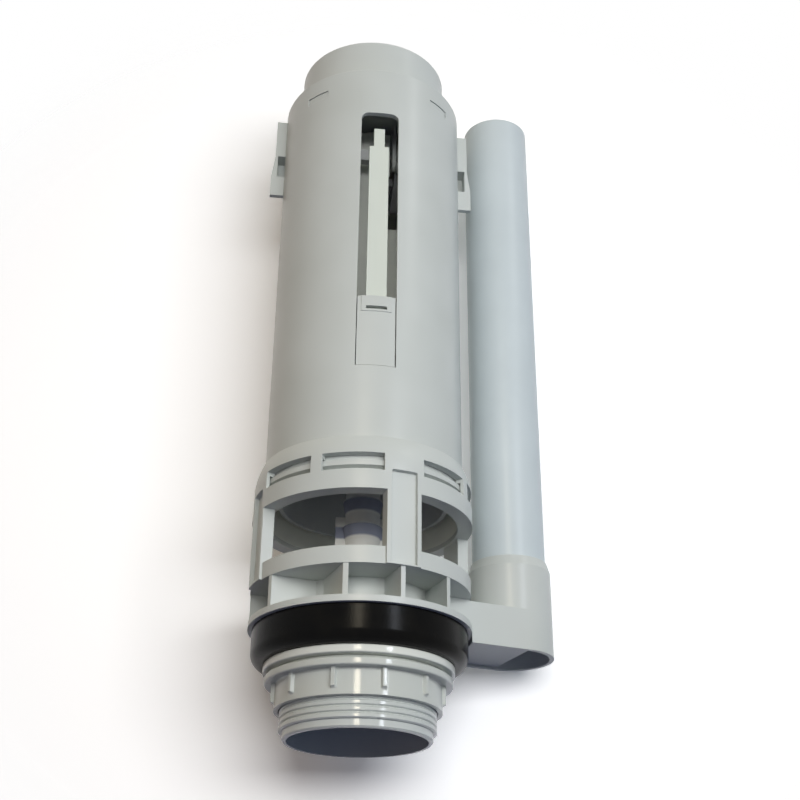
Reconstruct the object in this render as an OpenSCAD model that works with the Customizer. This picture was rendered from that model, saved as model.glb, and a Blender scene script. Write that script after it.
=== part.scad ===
// Dual flush valve for a toilet cistern: threaded outlet base with a flow cage, a swivelling tower,
// an overflow tube beside it, and a lift mechanism with two floats inside.
// The origin is on the outlet's axis at the gasket's underside, where the cistern floor lies.
// +Z runs up the tower, and +X points to the overflow tube. Sizes are in millimetres, angles in degrees.

/* [Outlet tail] */
// Outer diameter of the outlet thread
thread_d = 59.6; // [58.6:0.1:61]
// Pitch of the outlet thread
thread_pitch = 2.3; // [1.8:0.1:2.8]
// Height of the thread's ridges
thread_depth = 0.7; // [0.5:0.1:1.5]
// Inside diameter of the outlet
outlet_d = 53.4; // [49:0.2:54]
// Length of the tail below the cistern floor
tail_l = 27.7; // [26:0.1:40]
// Length of the plain end below the thread
tail_end_l = 3; // [2:0.5:6]

/* [Gasket, washer and nut] */
// Outer diameter of the rubber gasket
gasket_d = 84; // [80:0.5:86]
// Thickness of the gasket
gasket_t = 13.7; // [10:0.1:17]
// Bevel of the gasket's lower edge
gasket_bevel = 4.5; // [1:0.5:5]
// Outer diameter of the slip washer
washer_d = 73.8; // [70:0.2:78]
// Thickness of the slip washer
washer_t = 3; // [2:0.1:4]
// Outer diameter of the nut's flange
nut_flange_d = 72; // [70:0.2:76]
// Thickness of the nut's flange
nut_flange_t = 2.8; // [2:0.1:4]
// Diameter of the narrow land on top of the nut
nut_land_d = 67; // [64:0.5:69]
// Height of the narrow land on top of the nut
nut_land_t = 1.4; // [1:0.1:2]
// Wall of the nut outside its bore
nut_wall = 2; // [1.6:0.1:3]
// Height of the nut below its flange
nut_body_h = 9.8; // [9:0.1:12]
// Number of grip ribs on the nut
grip_count = 11; // [6:1:18]
// Turn of the first grip rib from +X about +Z
grip_turn = 3.8; // [0:0.1:30]
// Width of a grip rib
grip_w = 1.9; // [1.4:0.1:3]
// Height of a grip rib
grip_h = 7.6; // [5:0.1:8.5]
// How far a grip rib stands out
grip_out = 1.4; // [0.8:0.1:2]

/* [Base] */
// Outer diameter of the base flange
flange_d = 87.2; // [86:0.2:90]
// Thickness of the base flange
flange_t = 2.5; // [2:0.1:4]
// Height of the pockets between the flange and the cage's lower ring
pocket_h = 11.9; // [10:0.1:14]
// Height of the cage's lower ring
ring_h = 6.7; // [5:0.1:8]
// Thickness of the plate inside the lower ring
plate_t = 2.4; // [2:0.1:3]
// Wall of the lower ring's rim
ring_wall = 2.4; // [1.6:0.1:3]
// How far the lower ring lies inside the collar's outline
ring_inset = 1; // [0.2:0.1:2]
// Diameter of the water way through the valve seat
seat_d = 50; // [46:0.2:50.8]
// Wall of the water way under the seat
seat_wall = 2.2; // [1.8:0.1:3]
// Height of the seat's lip above the plate
seat_up = 1; // [0.8:0.1:3]
// Height of the flow openings in the cage
flow_h = 22.3; // [18:0.1:30]
// Thickness of the gusset ribs
rib_t = 1.8; // [1.4:0.1:2.4]
// Distance of the outer gusset ribs from the middle one at the front and back
rib_gap = 20.5; // [16:0.5:24]
// Distance of the gusset ribs from the middle at the side
side_rib_gap = 13; // [8:0.5:16]

/* [Collar and columns] */
// Wall of the collar around the tower
collar_wall = 3.4; // [3:0.1:4.5]
// Height of the collar
collar_h = 22.5; // [20:0.1:28]
// Height at which the collar's shoulder begins to round inwards
collar_straight_h = 11; // [10:0.1:14]
// Wall left at the collar's top edge
collar_lip = 0.8; // [0.6:0.1:1.5]
// Height of the ledge that carries the tower
ledge_h = 2; // [1.5:0.1:3]
// Height of the slots in the collar
slot_h = 7.1; // [6:0.1:8]
// Height of the slots above the collar's lower edge
slot_up = 7.6; // [6:0.1:9]
// Angle that a slot spans
slot_arc = 31.5; // [20:0.5:32]
// Angle from a column's middle to the near end of a slot
slot_start = 10.5; // [10:0.5:13]
// Width of a cage column
column_w = 13.8; // [12:0.1:15]
// Depth of a cage column from the collar's outline inwards
column_t = 4.6; // [4:0.1:6]
// Width of the channel down a column
channel_w = 10.4; // [7:0.1:11]
// Depth of the channel down a column
channel_depth = 2; // [1:0.1:2.6]
// How far the channel runs up into the collar
channel_up = 8.4; // [6:0.1:10]

/* [Overflow] */
// Outer diameter of the overflow tube
overflow_d = 30.6; // [28:0.2:33]
// Wall of the overflow tube
overflow_wall = 1.8; // [1.4:0.1:2.4]
// Length of the overflow tube
overflow_l = 248.4; // [200:0.2:300]
// Distance of the overflow tube from the tower's axis
overflow_offset = 66; // [65:0.5:72]
// Wall of the socket around the overflow tube
socket_wall = 1.8; // [1.6:0.1:3]
// Height of the socket above the duct's lower edge
socket_h = 39.6; // [34:0.2:46]
// Height of the taper at the socket's mouth
socket_taper_h = 4; // [2:0.5:6]
// How far the duct's lower edge lies below the flange
duct_drop = 2.6; // [0.5:0.1:3.5]
// Height of the duct
duct_h = 16.5; // [15:0.1:18]
// Thickness of the duct's roof
duct_roof = 3.3; // [2.5:0.1:4]
// Height of the seal ring under the overflow tube
tube_seal_t = 1.6; // [1:0.1:3]
// Thickness of the duct's floor
duct_floor_t = 2; // [1.5:0.1:2.5]
// Recess of the duct's floor from the duct's lower edge
duct_recess = 1; // [0.5:0.1:1.5]
// Distance past the overflow's axis at which the duct's floor starts to climb
climb_start = 1; // [0:0.5:6]

/* [Tower] */
// Outer diameter of the tower
tower_d = 81.2; // [79:0.2:84]
// Wall of the tower
tower_wall = 2.2; // [1.8:0.1:2.6]
// Height of the tower above its ledge
tower_h = 204.1; // [196:0.1:230]
// Turn of the tower's window from the front column, about +Z
tower_turn = -15.7; // [-45:0.1:45]
// How far the swivel bead stands out of the tower
bead_out = 2; // [1.5:0.1:2.2]
// Height of the swivel bead
bead_h = 3.2; // [2.5:0.1:4]
// Width of the tower's window
window_w = 16.4; // [14:0.2:20]
// Height of the tower's window
window_h = 127; // [110:0.5:135]
// Height of the window's lower edge above the tower's end
window_up = 52.1; // [46:0.1:60]
// Rounding of the window's upper corners
window_round = 3; // [1:0.5:5]
// Distance from the tower's top to the bracket rails
rail_drop = 4.2; // [4:0.1:10]
// Height of the rail's upper pad
rail_pad_h = 20; // [16:0.5:26]
// Height of the gap between the rail's pads
rail_gap_h = 11.6; // [8:0.1:18]
// Height of the rail's lower pad
rail_foot_h = 10.5; // [8:0.5:12]
// How far the rail stands out at its top
rail_out = 4.5; // [4:0.1:6]
// How far the rail stands out at its foot
rail_foot_out = 6; // [5:0.1:8]
// Wall of the rail around the pocket between its pads
rail_wall = 1.2; // [1:0.1:1.6]
// Depth of the rail from its pads' front to its back
rail_depth = 8; // [6:0.5:10]
// How far the pads' front lies before the tower's axis
rail_front = 3; // [2:0.5:5]
// Distance from the tower's axis to the wall behind the half flush float
web_y = 12; // [11:0.1:12.6]
// Thickness of the wall behind the half flush float
web_t = 1.6; // [1.2:0.1:2]
// Height of that wall on the left, as seen through the window
web_h = 101; // [80:1:103]
// How much lower that wall is on the right
web_step = 25; // [10:1:60]
// Width of the tongue between the levers at that wall's top
tongue_w = 15; // [12:0.5:16]
// Height of the tongue
tongue_h = 28; // [20:1:32]
// Height of the opening under the tongue's right half
tongue_gap_h = 4; // [2:0.5:10]

/* [Top cap] */
// Outer diameter of the neck
neck_d = 67.2; // [66:0.2:68.4]
// Height of the neck above the tower
neck_h = 22.8; // [18:0.1:30]
// Wall of the neck
neck_wall = 2.2; // [1.8:0.1:2.6]
// Thickness of the cap's flange
cap_t = 3; // [2.5:0.1:4]
// Width of the ledge in the tower that carries the cap
cap_ledge = 2; // [1.5:0.1:2.2]
// Distance from the cap's seat down to its floor
floor_drop = 5; // [4:0.1:8]
// Thickness of the cap's floor
floor_t = 3; // [2.5:0.1:4]
// Width of a snap hook
snap_w = 10.8; // [8:0.1:12]
// Height of a snap hook
snap_h = 3; // [2.5:0.1:4]
// Thickness of a snap arm
snap_t = 1.8; // [1.4:0.1:2]
// Distance from the tower's top to the middle of the snap hooks
snap_drop = 10.5; // [10:0.1:14]
// Angle of the snap hooks from the window's middle and from the back
snap_angle = 43; // [30:1:60]

/* [Plungers and levers] */
// Travel of a plunger
press_travel = 8; // [5:0.5:9]
// Distance from the neck's top down to the plungers
pad_sink = 10; // [6:0.5:11]
// Thickness of a plunger's pad
pad_t = 3; // [2:0.5:4]
// Gap between the two plungers
pad_gap = 1.6; // [1:0.1:3]
// Diameter of a plunger's push leg
leg_d = 6; // [5:0.1:7]
// Diameter of a push leg's blunt tip
leg_tip_d = 2; // [1.6:0.1:2.4]
// Diameter of a plunger's guide leg
guide_d = 5; // [4:0.1:6]
// Depth of the pivots below the cap's floor
pivot_drop = 21; // [19:0.1:24]
// Push arm of the full flush lever
full_push_arm = 13; // [11:0.1:14]
// Lift arm of the full flush lever
full_lift_arm = 25; // [22:0.1:26]
// Push arm of the half flush lever
half_push_arm = 18; // [17:0.1:19]
// Thickness of a lever
lever_t = 4; // [3:0.1:5]
// Height of a lever's bar
lever_h = 5; // [4:0.1:6]
// Diameter of a lever's hub
lever_hub_d = 8; // [7:0.1:9]
// Diameter of a lever pin
pin_d = 3; // [2.5:0.1:3.5]
// Thickness of the ears that carry the pins
ear_t = 1.6; // [1.2:0.1:2]
// Width of the ears
ear_w = 8; // [7:0.1:9]

/* [Return springs] */
// Wire diameter of a return spring
wire_d = 1; // [0.8:0.05:1.1]
// Mean diameter of a return spring
coil_d = 8.4; // [8:0.1:9]
// Turns of a return spring
coil_turns = 5; // [4:0.5:6]

/* [Stem and seal] */
// Diameter of the stem's core
stem_d = 14; // [13:0.2:16]
// How far the stem's collars stand out
stem_collar_out = 1.2; // [0.8:0.1:2]
// How far the stem's fins stand out of its core
fin_out = 4; // [2:0.1:6]
// Thickness of the stem's fins
fin_t = 2; // [1.5:0.1:3]
// Height of the stem's fins
fin_h = 24.7; // [18:0.1:26]
// Diameter of the lift rod above the main float
rod_d = 12; // [10:0.2:13]
// How far the lift rod stands above the cap's floor
rod_up = 4; // [3:0.5:6]
// Diameter of the stem's seal plate
seal_plate_d = 63; // [60:0.5:68]
// Thickness of the stem's seal plate
seal_plate_t = 3; // [2:0.1:4]
// Outer diameter of the seal washer
seal_d = 61; // [58:0.5:63]
// Thickness of the seal washer
seal_t = 2.5; // [2:0.1:3.5]
// Gap between the seal retainer and the water way
retainer_gap = 2; // [1:0.1:4]
// Thickness of the seal retainer
retainer_t = 2.8; // [2:0.1:4]
// Diameter of the stud that holds the seal retainer
stud_d = 10; // [8:0.2:12]
// Wall of the lift arm's hub
hub_wall = 2.1; // [1.5:0.1:2.2]
// Thickness of the lift arm
arm_t = 4; // [3:0.1:5]

/* [Floats] */
// Gap between the main float and the tower
main_float_gap = 3.9; // [2:0.1:6]
// Height of the main float
main_float_h = 34; // [28:0.5:36]
// Height of the main float's lower edge above the tower's end
main_float_up = 7; // [4:0.5:10]
// Wall of the floats
float_wall = 1.8; // [1.4:0.1:2.4]
// Outer diameter of the clip that holds the main float
clip_d = 25; // [22:0.5:28]
// Thickness of the clip that holds the main float
clip_t = 2.4; // [1.6:0.1:3]
// Height of the half flush float's panel
panel_h = 32; // [28:0.5:36]
// Thickness of the half flush float's panel
panel_t = 1.5; // [1.2:0.1:1.9]
// Half width of the half flush float
half_float_w = 20; // [16:0.5:23]
// Distance from the half flush float to the tower's axis
half_float_y = 14; // [12:0.5:16]
// Height of the adjuster slit below the panel's top
slit_drop = 4.8; // [4:0.1:8]
// Height of the adjuster slit
slit_h = 1.4; // [1:0.1:2]
// Width of the half flush strip
strip_w = 8.5; // [7:0.1:10]
// Width of the half flush strip's tip
tip_w = 4.7; // [4:0.1:6]
// Length of the half flush strip's tip
tip_l = 9.7; // [8:0.1:14]
// Thickness of the half flush strip
strip_t = 2; // [1.5:0.1:2.5]
// Thickness of the hook at the strip's top
hook_t = 2.9; // [2:0.1:4]

/* [Clearances] */
// Gap of pieces that slide or turn on each other
slide_gap = 0.3; // [0.2:0.05:0.4]
// Gap of pieces that are pushed or clipped together
fit_gap = 0.1; // [0.05:0.01:0.15]
// Gap between a lever and its pin
pin_gap = 0.05; // [0.03:0.01:0.08]
// Gap between the thread and what slips over it
thread_gap = 0.2; // [0.15:0.05:0.4]
// Gap of loose guides, such as the float in its window
guide_gap = 0.4; // [0.3:0.05:0.6]

/* [Hidden] */
$fn = 96;

// How far a cut runs past the face that it opens
cut = 1;
// Small chamfer on moulded edges
edge = 0.6;

// Radii of the outlet
thread_r = thread_d / 2;
root_r = thread_r - thread_depth;
tail_end_r = root_r - edge;
outlet_r = outlet_d / 2;
seat_r = seat_d / 2;
seat_wall_r = seat_r + seat_wall;
// Radii of the tower and of what surrounds it
tower_r = tower_d / 2;
tower_in_r = tower_r - tower_wall;
collar_in_r = tower_r + guide_gap;
collar_r = collar_in_r + collar_wall;
collar_top_r = collar_in_r + collar_lip;
ring_r = collar_r - ring_inset;
flange_r = flange_d / 2;
// The gusset ribs end just inside the flange and the lower ring
rib_inset = 0.2;
rib_r = min(flange_r, ring_r) - rib_inset;
gasket_r = gasket_d / 2;
gasket_in_r = root_r + thread_gap;
slip_r = thread_r + thread_gap;
nut_r = slip_r + nut_wall;

// Heights of the base, from the cistern floor up
flange_z = gasket_t;
pocket_z = flange_z + flange_t;
plate_z = pocket_z + pocket_h;
ring_top_z = plate_z + ring_h;
seat_z = plate_z + plate_t + seat_up;
collar_z = ring_top_z + flow_h;
collar_top_z = collar_z + collar_h;
slot_z = collar_z + slot_up;
// The bore narrows from the tail to the seat here, inside the gasket
bore_step_z = gasket_t / 2;
bore_step_h = 1;
shoulder_z = collar_z + collar_straight_h;
shoulder_drop = collar_r - collar_top_r;
shoulder_h = collar_top_z - shoulder_z;
shoulder_r = (shoulder_h * shoulder_h + shoulder_drop * shoulder_drop) / (2 * shoulder_drop);

// Heights of the nut, from the cistern floor down
nut_top_z = -washer_t;
nut_flange_z = nut_top_z - nut_land_t - nut_flange_t;
nut_bottom_z = nut_flange_z - nut_body_h;

// Overflow
tube_r = overflow_d / 2;
tube_in_r = tube_r - overflow_wall;
socket_in_r = tube_r + fit_gap;
socket_r = socket_in_r + socket_wall;
duct_z = flange_z - duct_drop;
duct_top_z = duct_z + duct_h;
duct_ceiling_z = duct_top_z - duct_roof;
tube_z = duct_top_z + tube_seal_t;
duct_in = socket_r - socket_wall;
// Below the flange the duct stays clear of the flange and of the gasket
under_r = max(flange_r, gasket_r + fit_gap);
// Opening from the duct into the water way, and the wall left above and below it
port_w = 22;
port_margin = 0.8;

// Tower heights
tower_z = collar_z + ledge_h;
tower_top_z = tower_z + tower_h;
bead_z = slot_z + (slot_h - bead_h) / 2;
window_z = tower_z + window_up;
rail_top_z = tower_top_z - rail_drop;
rail_gap_z = rail_top_z - rail_pad_h - rail_gap_h;
rail_foot_z = rail_gap_z - rail_foot_h;
snap_z = tower_top_z - snap_drop - snap_h / 2;

// Cap
neck_r = neck_d / 2;
neck_in_r = neck_r - neck_wall;
cap_seat_z = tower_top_z - cap_t;
floor_z = cap_seat_z - floor_drop;
floor_top_z = floor_z + floor_t;
neck_top_z = tower_top_z + neck_h;
cap_ledge_r = tower_in_r - cap_ledge;
snap_out_r = cap_ledge_r - slide_gap;
snap_in_r = snap_out_r - snap_t;

// Plungers and levers, seen along the tower's own axes: the window faces -Y
rod_r = rod_d / 2;
hub_r = rod_r + fit_gap + hub_wall;
lever_x = hub_r + slide_gap + ear_t + slide_gap + lever_t / 2;
pad_top_z = neck_top_z - pad_sink;
pad_z = pad_top_z - pad_t;
pad_r = neck_in_r - guide_gap;
// The legs stand as far out as the springs around them allow
leg_reach = pad_r - coil_d / 2 - wire_d / 2;
leg_y = sqrt(leg_reach * leg_reach - lever_x * lever_x);
lever_round = lever_h / 2;
pivot_z = floor_z - pivot_drop;
full_pivot_y = full_push_arm - leg_y;
half_pivot_y = leg_y - half_push_arm;
full_rest = asin(press_travel / 2 / full_push_arm);
half_rest = asin(press_travel / 2 / half_push_arm);
valve_lift = press_travel * full_lift_arm / full_push_arm;
push_top_z = pivot_z + press_travel / 2 + lever_round;
leg_z = push_top_z + slide_gap;
guide_leg_z = floor_z - edge;

// Half flush strip: a flat bar just inside the window, lifted by the half lever's tip
strip_front = tower_in_r - guide_gap - slide_gap;
strip_back = strip_front - strip_t;
half_tip_y = -(strip_back - guide_gap - lever_round - edge);
half_lift_arm = half_pivot_y - half_tip_y;
half_tip_z = pivot_z - half_lift_arm * sin(half_rest);
hook_z = half_tip_z + lever_round + slide_gap;
strip_top_z = hook_z + hook_t;
strip_z = window_z + 2 * float_wall;
hook_in = guide_gap + edge + lever_round;

// Stem and valve
seal_z = seat_z;
seal_plate_z = seal_z + seal_t;
stem_r = stem_d / 2;
stem_z = seal_plate_z + seal_plate_t;
rod_top_z = floor_top_z + rod_up;
// Two collars on the stem narrow downwards, each above a plain length
stem_plain_h = 14.2;
stem_cone_h = 6;
stem_band_h = 5.4;
retainer_z = seal_z - retainer_t;
stud_r = stud_d / 2;
bead_r = stud_r + edge;
stud_bead_h = 2.2;
full_tip_y = full_pivot_y + full_lift_arm;
arm_z = pivot_z - full_lift_arm * sin(full_rest) + lever_round + slide_gap;

// Floats
main_float_r = tower_in_r - main_float_gap;
main_float_z = tower_z + main_float_up;
main_float_top_z = main_float_z + main_float_h;
float_seat_z = main_float_top_z - float_wall;
float_seat_h = 2.5;
clip_groove = 1;
// Length of full stem left above the clip
clip_land = 2;
rod_z = main_float_top_z + clip_t + clip_land;
panel_z = window_z + slide_gap;
panel_top_z = panel_z + panel_h;
panel_r = tower_r - guide_gap;
panel_w = window_w - 2 * guide_gap;
half_float_z = main_float_top_z + valve_lift + float_wall + 2 * guide_gap;
half_float_r = tower_in_r - guide_gap;

// Colours of the moulded pieces, the rubber and the metal
shell_grey = [0.80, 0.81, 0.80];
tube_grey = [0.80, 0.83, 0.85];
strip_white = [0.88, 0.90, 0.87];
inner_grey = [0.72, 0.73, 0.73];
rubber_black = [0.06, 0.06, 0.07];
steel = [0.70, 0.71, 0.73];

// Moves children up to a height
module at_z(z) {
    translate([0, 0, z]) children();
}

// Turns children with the tower, so that its window faces -Y before the turn
module on_tower() {
    rotate([0, 0, tower_turn]) children();
}

// A tube with its lower end at the origin
module tube(r_out, r_in, h) {
    difference() {
        cylinder(r = r_out, h = h);
        at_z(-cut) cylinder(r = r_in, h = h + 2 * cut);
    }
}

// Children drawn in x and z, carried from the plane y = 0 towards -Y
module towards_front(depth) {
    rotate([90, 0, 0]) linear_extrude(depth) children();
}

// Children drawn in y and z, carried along X about the plane x = 0
module along_x(width) {
    translate([-width / 2, 0, 0]) rotate([90, 0, 90]) linear_extrude(width) children();
}

// An upright opening with rounded upper corners, standing on the origin
module arched(w, h, r) {
    translate([-w / 2, 0]) square([w, h - r]);
    translate([r - w / 2, 0]) square([w - 2 * r, h]);
    for (side = [-1, 1]) translate([side * (w / 2 - r), h - r]) circle(r);
}

// Tail, thread and water way up to the seat, as one turned solid
thread_z = -tail_l + tail_end_l;
thread_count = floor((-thread_z - edge) / thread_pitch);
// Corners of a ridge, as shares of the thread's depth and pitch
ridge = [[0, 0], [1, 0.2], [1, 0.7], [0, 0.9]];
thread_points = [for (i = [0 : thread_count - 1], p = ridge)
    [root_r + p[0] * thread_depth, thread_z + (i + p[1]) * thread_pitch]];
module outlet_tube() {
    lip = seat_wall / 3;
    rotate_extrude() polygon(concat(
        [[outlet_r, -tail_l], [tail_end_r - edge, -tail_l],
            [tail_end_r, edge - tail_l], [tail_end_r, thread_z]],
        thread_points,
        [[root_r, flange_z], [seat_wall_r, flange_z], [seat_wall_r, plate_z + plate_t],
            [seat_wall_r - lip, seat_z], [seat_r + lip / 2, seat_z], [seat_r, seat_z - lip],
            [seat_r, bore_step_z + bore_step_h], [outlet_r, bore_step_z]]));
}

// Flange, pockets with gusset ribs, and the plate with its rim
module base_plates() {
    wall_mid = seat_r + seat_wall / 2;
    at_z(flange_z) tube(flange_r, wall_mid, flange_t);
    at_z(plate_z) tube(ring_r, wall_mid, plate_t);
    at_z(plate_z) tube(ring_r, ring_r - ring_wall, ring_h);
    at_z(pocket_z) intersection() {
        tube(rib_r, wall_mid, pocket_h);
        union() {
            for (x = [-rib_gap, 0, rib_gap])
                translate([x - rib_t / 2, -flange_r, 0]) cube([rib_t, 2 * flange_r, pocket_h]);
            for (y = [-side_rib_gap, side_rib_gap])
                translate([-flange_r, y - rib_t / 2, 0]) cube([flange_r, rib_t, pocket_h]);
        }
    }
}

// Collar around the tower's foot, with the ledge that carries the tower
module collar() {
    rotate_extrude() {
        translate([tower_in_r, collar_z]) square([collar_r - tower_in_r, ledge_h]);
        translate([collar_in_r, collar_z]) square([collar_wall, collar_straight_h]);
        intersection() {
            translate([collar_in_r, shoulder_z]) square([collar_wall, shoulder_h]);
            translate([collar_r - shoulder_r, shoulder_z]) circle(shoulder_r);
        }
    }
}

// Four columns between the lower ring and the collar
module columns() {
    column_h = collar_z + ledge_h - plate_z;
    for (turn = [0 : 90 : 270]) rotate([0, 0, turn]) at_z(plate_z) intersection() {
        tube(collar_r, collar_r - column_t, column_h);
        translate([-column_w / 2, -collar_r - cut, 0]) cube([column_w, collar_r, column_h]);
    }
}

// Channels down the columns, and the slots and groove that take the tower's swivel bead
module collar_cuts() {
    channel_z = plate_z + edge;
    for (turn = [0 : 90 : 270]) rotate([0, 0, turn]) {
        translate([0, channel_depth - collar_r, channel_z]) towards_front(channel_depth + cut)
            arched(channel_w, collar_z + channel_up - channel_z, edge);
        for (start = [slot_start, -slot_start - slot_arc]) rotate([0, 0, start - 90])
            rotate_extrude(angle = slot_arc) translate([collar_in_r - cut, slot_z])
                square([collar_wall + 2 * cut, slot_h]);
    }
    at_z(bead_z - guide_gap) tube(tower_r + bead_out + guide_gap, tower_r, bead_h + 2 * guide_gap);
}

// Outline of the overflow duct, grown inwards or outwards by its half width
module duct_outline(half_w) {
    translate([overflow_offset, 0]) circle(half_w);
    translate([0, -half_w]) square([overflow_offset, 2 * half_w]);
}

// Outside of the overflow duct and the socket of the overflow tube
module duct_body() {
    difference() {
        union() {
            at_z(duct_z) linear_extrude(duct_h) duct_outline(socket_r);
            at_z(duct_z) linear_extrude(plate_z + edge - duct_z) intersection() {
                duct_outline(socket_r);
                circle(ring_r - edge);
            }
        }
        at_z(duct_z - cut) cylinder(r = under_r, h = flange_z - duct_z + cut);
        at_z(duct_z - cut) cylinder(r = seat_wall_r - edge, h = duct_h + plate_z);
        at_z(plate_z + plate_t) cylinder(r = ring_r - ring_wall, h = duct_top_z);
    }
    plain_h = socket_h - socket_taper_h;
    translate([overflow_offset, 0, duct_z]) {
        cylinder(r = socket_r, h = plain_h);
        at_z(plain_h) cylinder(r1 = socket_r, r2 = socket_in_r + edge, h = socket_taper_h);
    }
}

// Water way from the overflow tube through the duct into the outlet
module duct_cuts() {
    difference() {
        at_z(pocket_z) linear_extrude(duct_ceiling_z - pocket_z) duct_outline(duct_in);
        at_z(pocket_z - cut) cylinder(r = seat_wall_r, h = duct_h);
    }
    difference() {
        at_z(duct_z - cut) linear_extrude(duct_ceiling_z - duct_z + cut) duct_outline(duct_in);
        at_z(duct_z - 2 * cut) cylinder(r = under_r, h = duct_h + 2 * cut);
    }
    translate([overflow_offset, 0, duct_ceiling_z - cut]) cylinder(r = tube_in_r, h = socket_h);
    translate([overflow_offset, 0, duct_top_z]) cylinder(r = socket_in_r, h = socket_h);
    translate([seat_r / 2, -port_w / 2, pocket_z + port_margin])
        cube([seat_wall_r - seat_r / 2 + cut, port_w, duct_ceiling_z - pocket_z - 2 * port_margin]);
}

module valve_base() {
    color(shell_grey) difference() {
        union() {
            outlet_tube();
            base_plates();
            collar();
            columns();
            duct_body();
        }
        collar_cuts();
        duct_cuts();
    }
}

// Floor of the overflow duct: flat beside the flange, climbing under the overflow tube
module duct_floor() {
    low = duct_z + duct_recess;
    break_x = overflow_offset + climb_start;
    end_x = overflow_offset + duct_in;
    end_z = duct_ceiling_z - slide_gap - duct_floor_t;
    color(shell_grey) difference() {
        intersection() {
            translate([0, duct_in, 0]) towards_front(2 * duct_in) polygon([[0, low], [break_x, low],
                [end_x, end_z], [end_x, end_z + duct_floor_t], [break_x, low + duct_floor_t],
                [0, low + duct_floor_t]]);
            linear_extrude(duct_top_z) duct_outline(duct_in - fit_gap);
        }
        cylinder(r = under_r + fit_gap, h = duct_top_z);
    }
}

module base_gasket() {
    color(rubber_black) rotate_extrude() polygon([[gasket_in_r, 0], [gasket_r - gasket_bevel, 0],
        [gasket_r, gasket_bevel], [gasket_r, gasket_t], [gasket_in_r, gasket_t]]);
}

module slip_washer() {
    washer_r = washer_d / 2;
    color(shell_grey) rotate_extrude() polygon([[slip_r, -washer_t], [washer_r - edge, -washer_t],
        [washer_r, edge - washer_t], [washer_r, -edge], [washer_r - edge, 0], [slip_r, 0]]);
}

module back_nut() {
    land_r = nut_land_d / 2;
    brim_r = nut_flange_d / 2;
    color(shell_grey) {
        rotate_extrude() polygon([[slip_r, nut_bottom_z], [nut_r - edge, nut_bottom_z],
            [nut_r, nut_bottom_z + edge], [nut_r, nut_flange_z], [brim_r - edge, nut_flange_z],
            [brim_r, nut_flange_z + edge], [brim_r, nut_flange_z + nut_flange_t - edge],
            [brim_r - edge, nut_flange_z + nut_flange_t], [land_r, nut_flange_z + nut_flange_t],
            [land_r, nut_top_z], [slip_r, nut_top_z]]);
        for (i = [0 : grip_count - 1]) rotate([0, 0, grip_turn + i * 360 / grip_count])
            translate([nut_r - edge, -grip_w / 2, nut_flange_z - grip_h])
                cube([grip_out + edge, grip_w, grip_h + edge]);
    }
}

module overflow_tube() {
    color(tube_grey) translate([overflow_offset, 0, tube_z]) rotate_extrude() polygon([[tube_in_r, 0],
        [tube_r, 0], [tube_r, overflow_l - edge], [tube_r - edge, overflow_l], [tube_in_r, overflow_l]]);
}

module tube_seal() {
    color(rubber_black) translate([overflow_offset, 0, duct_top_z])
        tube(tube_r, tube_in_r, tube_seal_t);
}

// Wall of the tower with its swivel bead below and the cap's ledge above, as one turned solid
module tower_wall_solid() {
    rotate_extrude() polygon([[tower_in_r, tower_z], [tower_r, tower_z], [tower_r, bead_z],
        [tower_r + bead_out, bead_z + edge], [tower_r + bead_out, bead_z + bead_h - edge],
        [tower_r, bead_z + bead_h], [tower_r, tower_top_z - edge], [tower_r - edge, tower_top_z],
        [tower_in_r, tower_top_z], [tower_in_r, cap_seat_z], [cap_ledge_r, cap_seat_z],
        [cap_ledge_r, cap_seat_z - edge], [tower_in_r, cap_seat_z - edge - cap_ledge]]);
}

// Bracket rail on the tower's +X side: an upper and a lower pad with a pocket between them, which is
// open in front, and a foot that slopes up towards the back
module rail() {
    root_x = tower_r - tower_wall / 2;
    back_y = rail_depth - rail_front;
    gap_top_z = rail_gap_z + rail_gap_h;
    difference() {
        translate([0, back_y, 0]) towards_front(rail_depth) polygon([[root_x, rail_foot_z],
            [tower_r + rail_foot_out, rail_foot_z], [tower_r + rail_foot_out, rail_gap_z],
            [tower_r + rail_out, gap_top_z], [tower_r + rail_out, rail_top_z], [root_x, rail_top_z]]);
        translate([tower_r, -rail_front - cut, rail_gap_z])
            cube([rail_out - rail_wall, rail_depth - rail_wall + cut, rail_gap_h]);
        translate([tower_r, 0, rail_foot_z]) along_x(2 * (rail_foot_out + tower_wall))
            polygon([[rail_wall - rail_front, -cut], [back_y + cut, -cut],
                [back_y + cut, rail_depth - rail_wall]]);
    }
}

// Notch upwards from a height in the wall behind the half flush float, for a lever that passes there
module web_notch(x, half_w, z) {
    translate([x - half_w, -web_y - cut, z]) cube([2 * half_w, web_t + 2 * cut, web_h + tongue_h]);
}

// Wall across the tower behind the half flush float, with its right half lower than its left and a
// tongue up between the levers; where it is high enough to meet them, it is notched
module float_web() {
    low = half_float_z + clip_t;
    half_low_z = pivot_z - (half_pivot_y + web_y) * tan(half_rest) - lever_round / cos(half_rest);
    full_low_z = pivot_z - max(ear_w, lever_hub_d) / 2;
    ears_half_w = lever_t / 2 + slide_gap + ear_t;
    difference() {
        intersection() {
            at_z(low) cylinder(r = tower_in_r + tower_wall / 2, h = web_h + tongue_h);
            union() {
                translate([-tower_r, -web_y, low]) cube([tower_r, web_t, web_h]);
                translate([-cut, -web_y, low]) cube([tower_r, web_t, web_h - web_step]);
                translate([-tongue_w / 2, -web_y, low + web_h - cut])
                    cube([tongue_w / 2, web_t, tongue_h + cut]);
                translate([-cut, -web_y, low + web_h + tongue_gap_h])
                    cube([tongue_w / 2 + cut, web_t, tongue_h - tongue_gap_h]);
            }
        }
        web_notch(-lever_x, lever_t / 2 + guide_gap, half_low_z - guide_gap);
        web_notch(lever_x, ears_half_w + guide_gap, full_low_z - guide_gap);
    }
}

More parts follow.
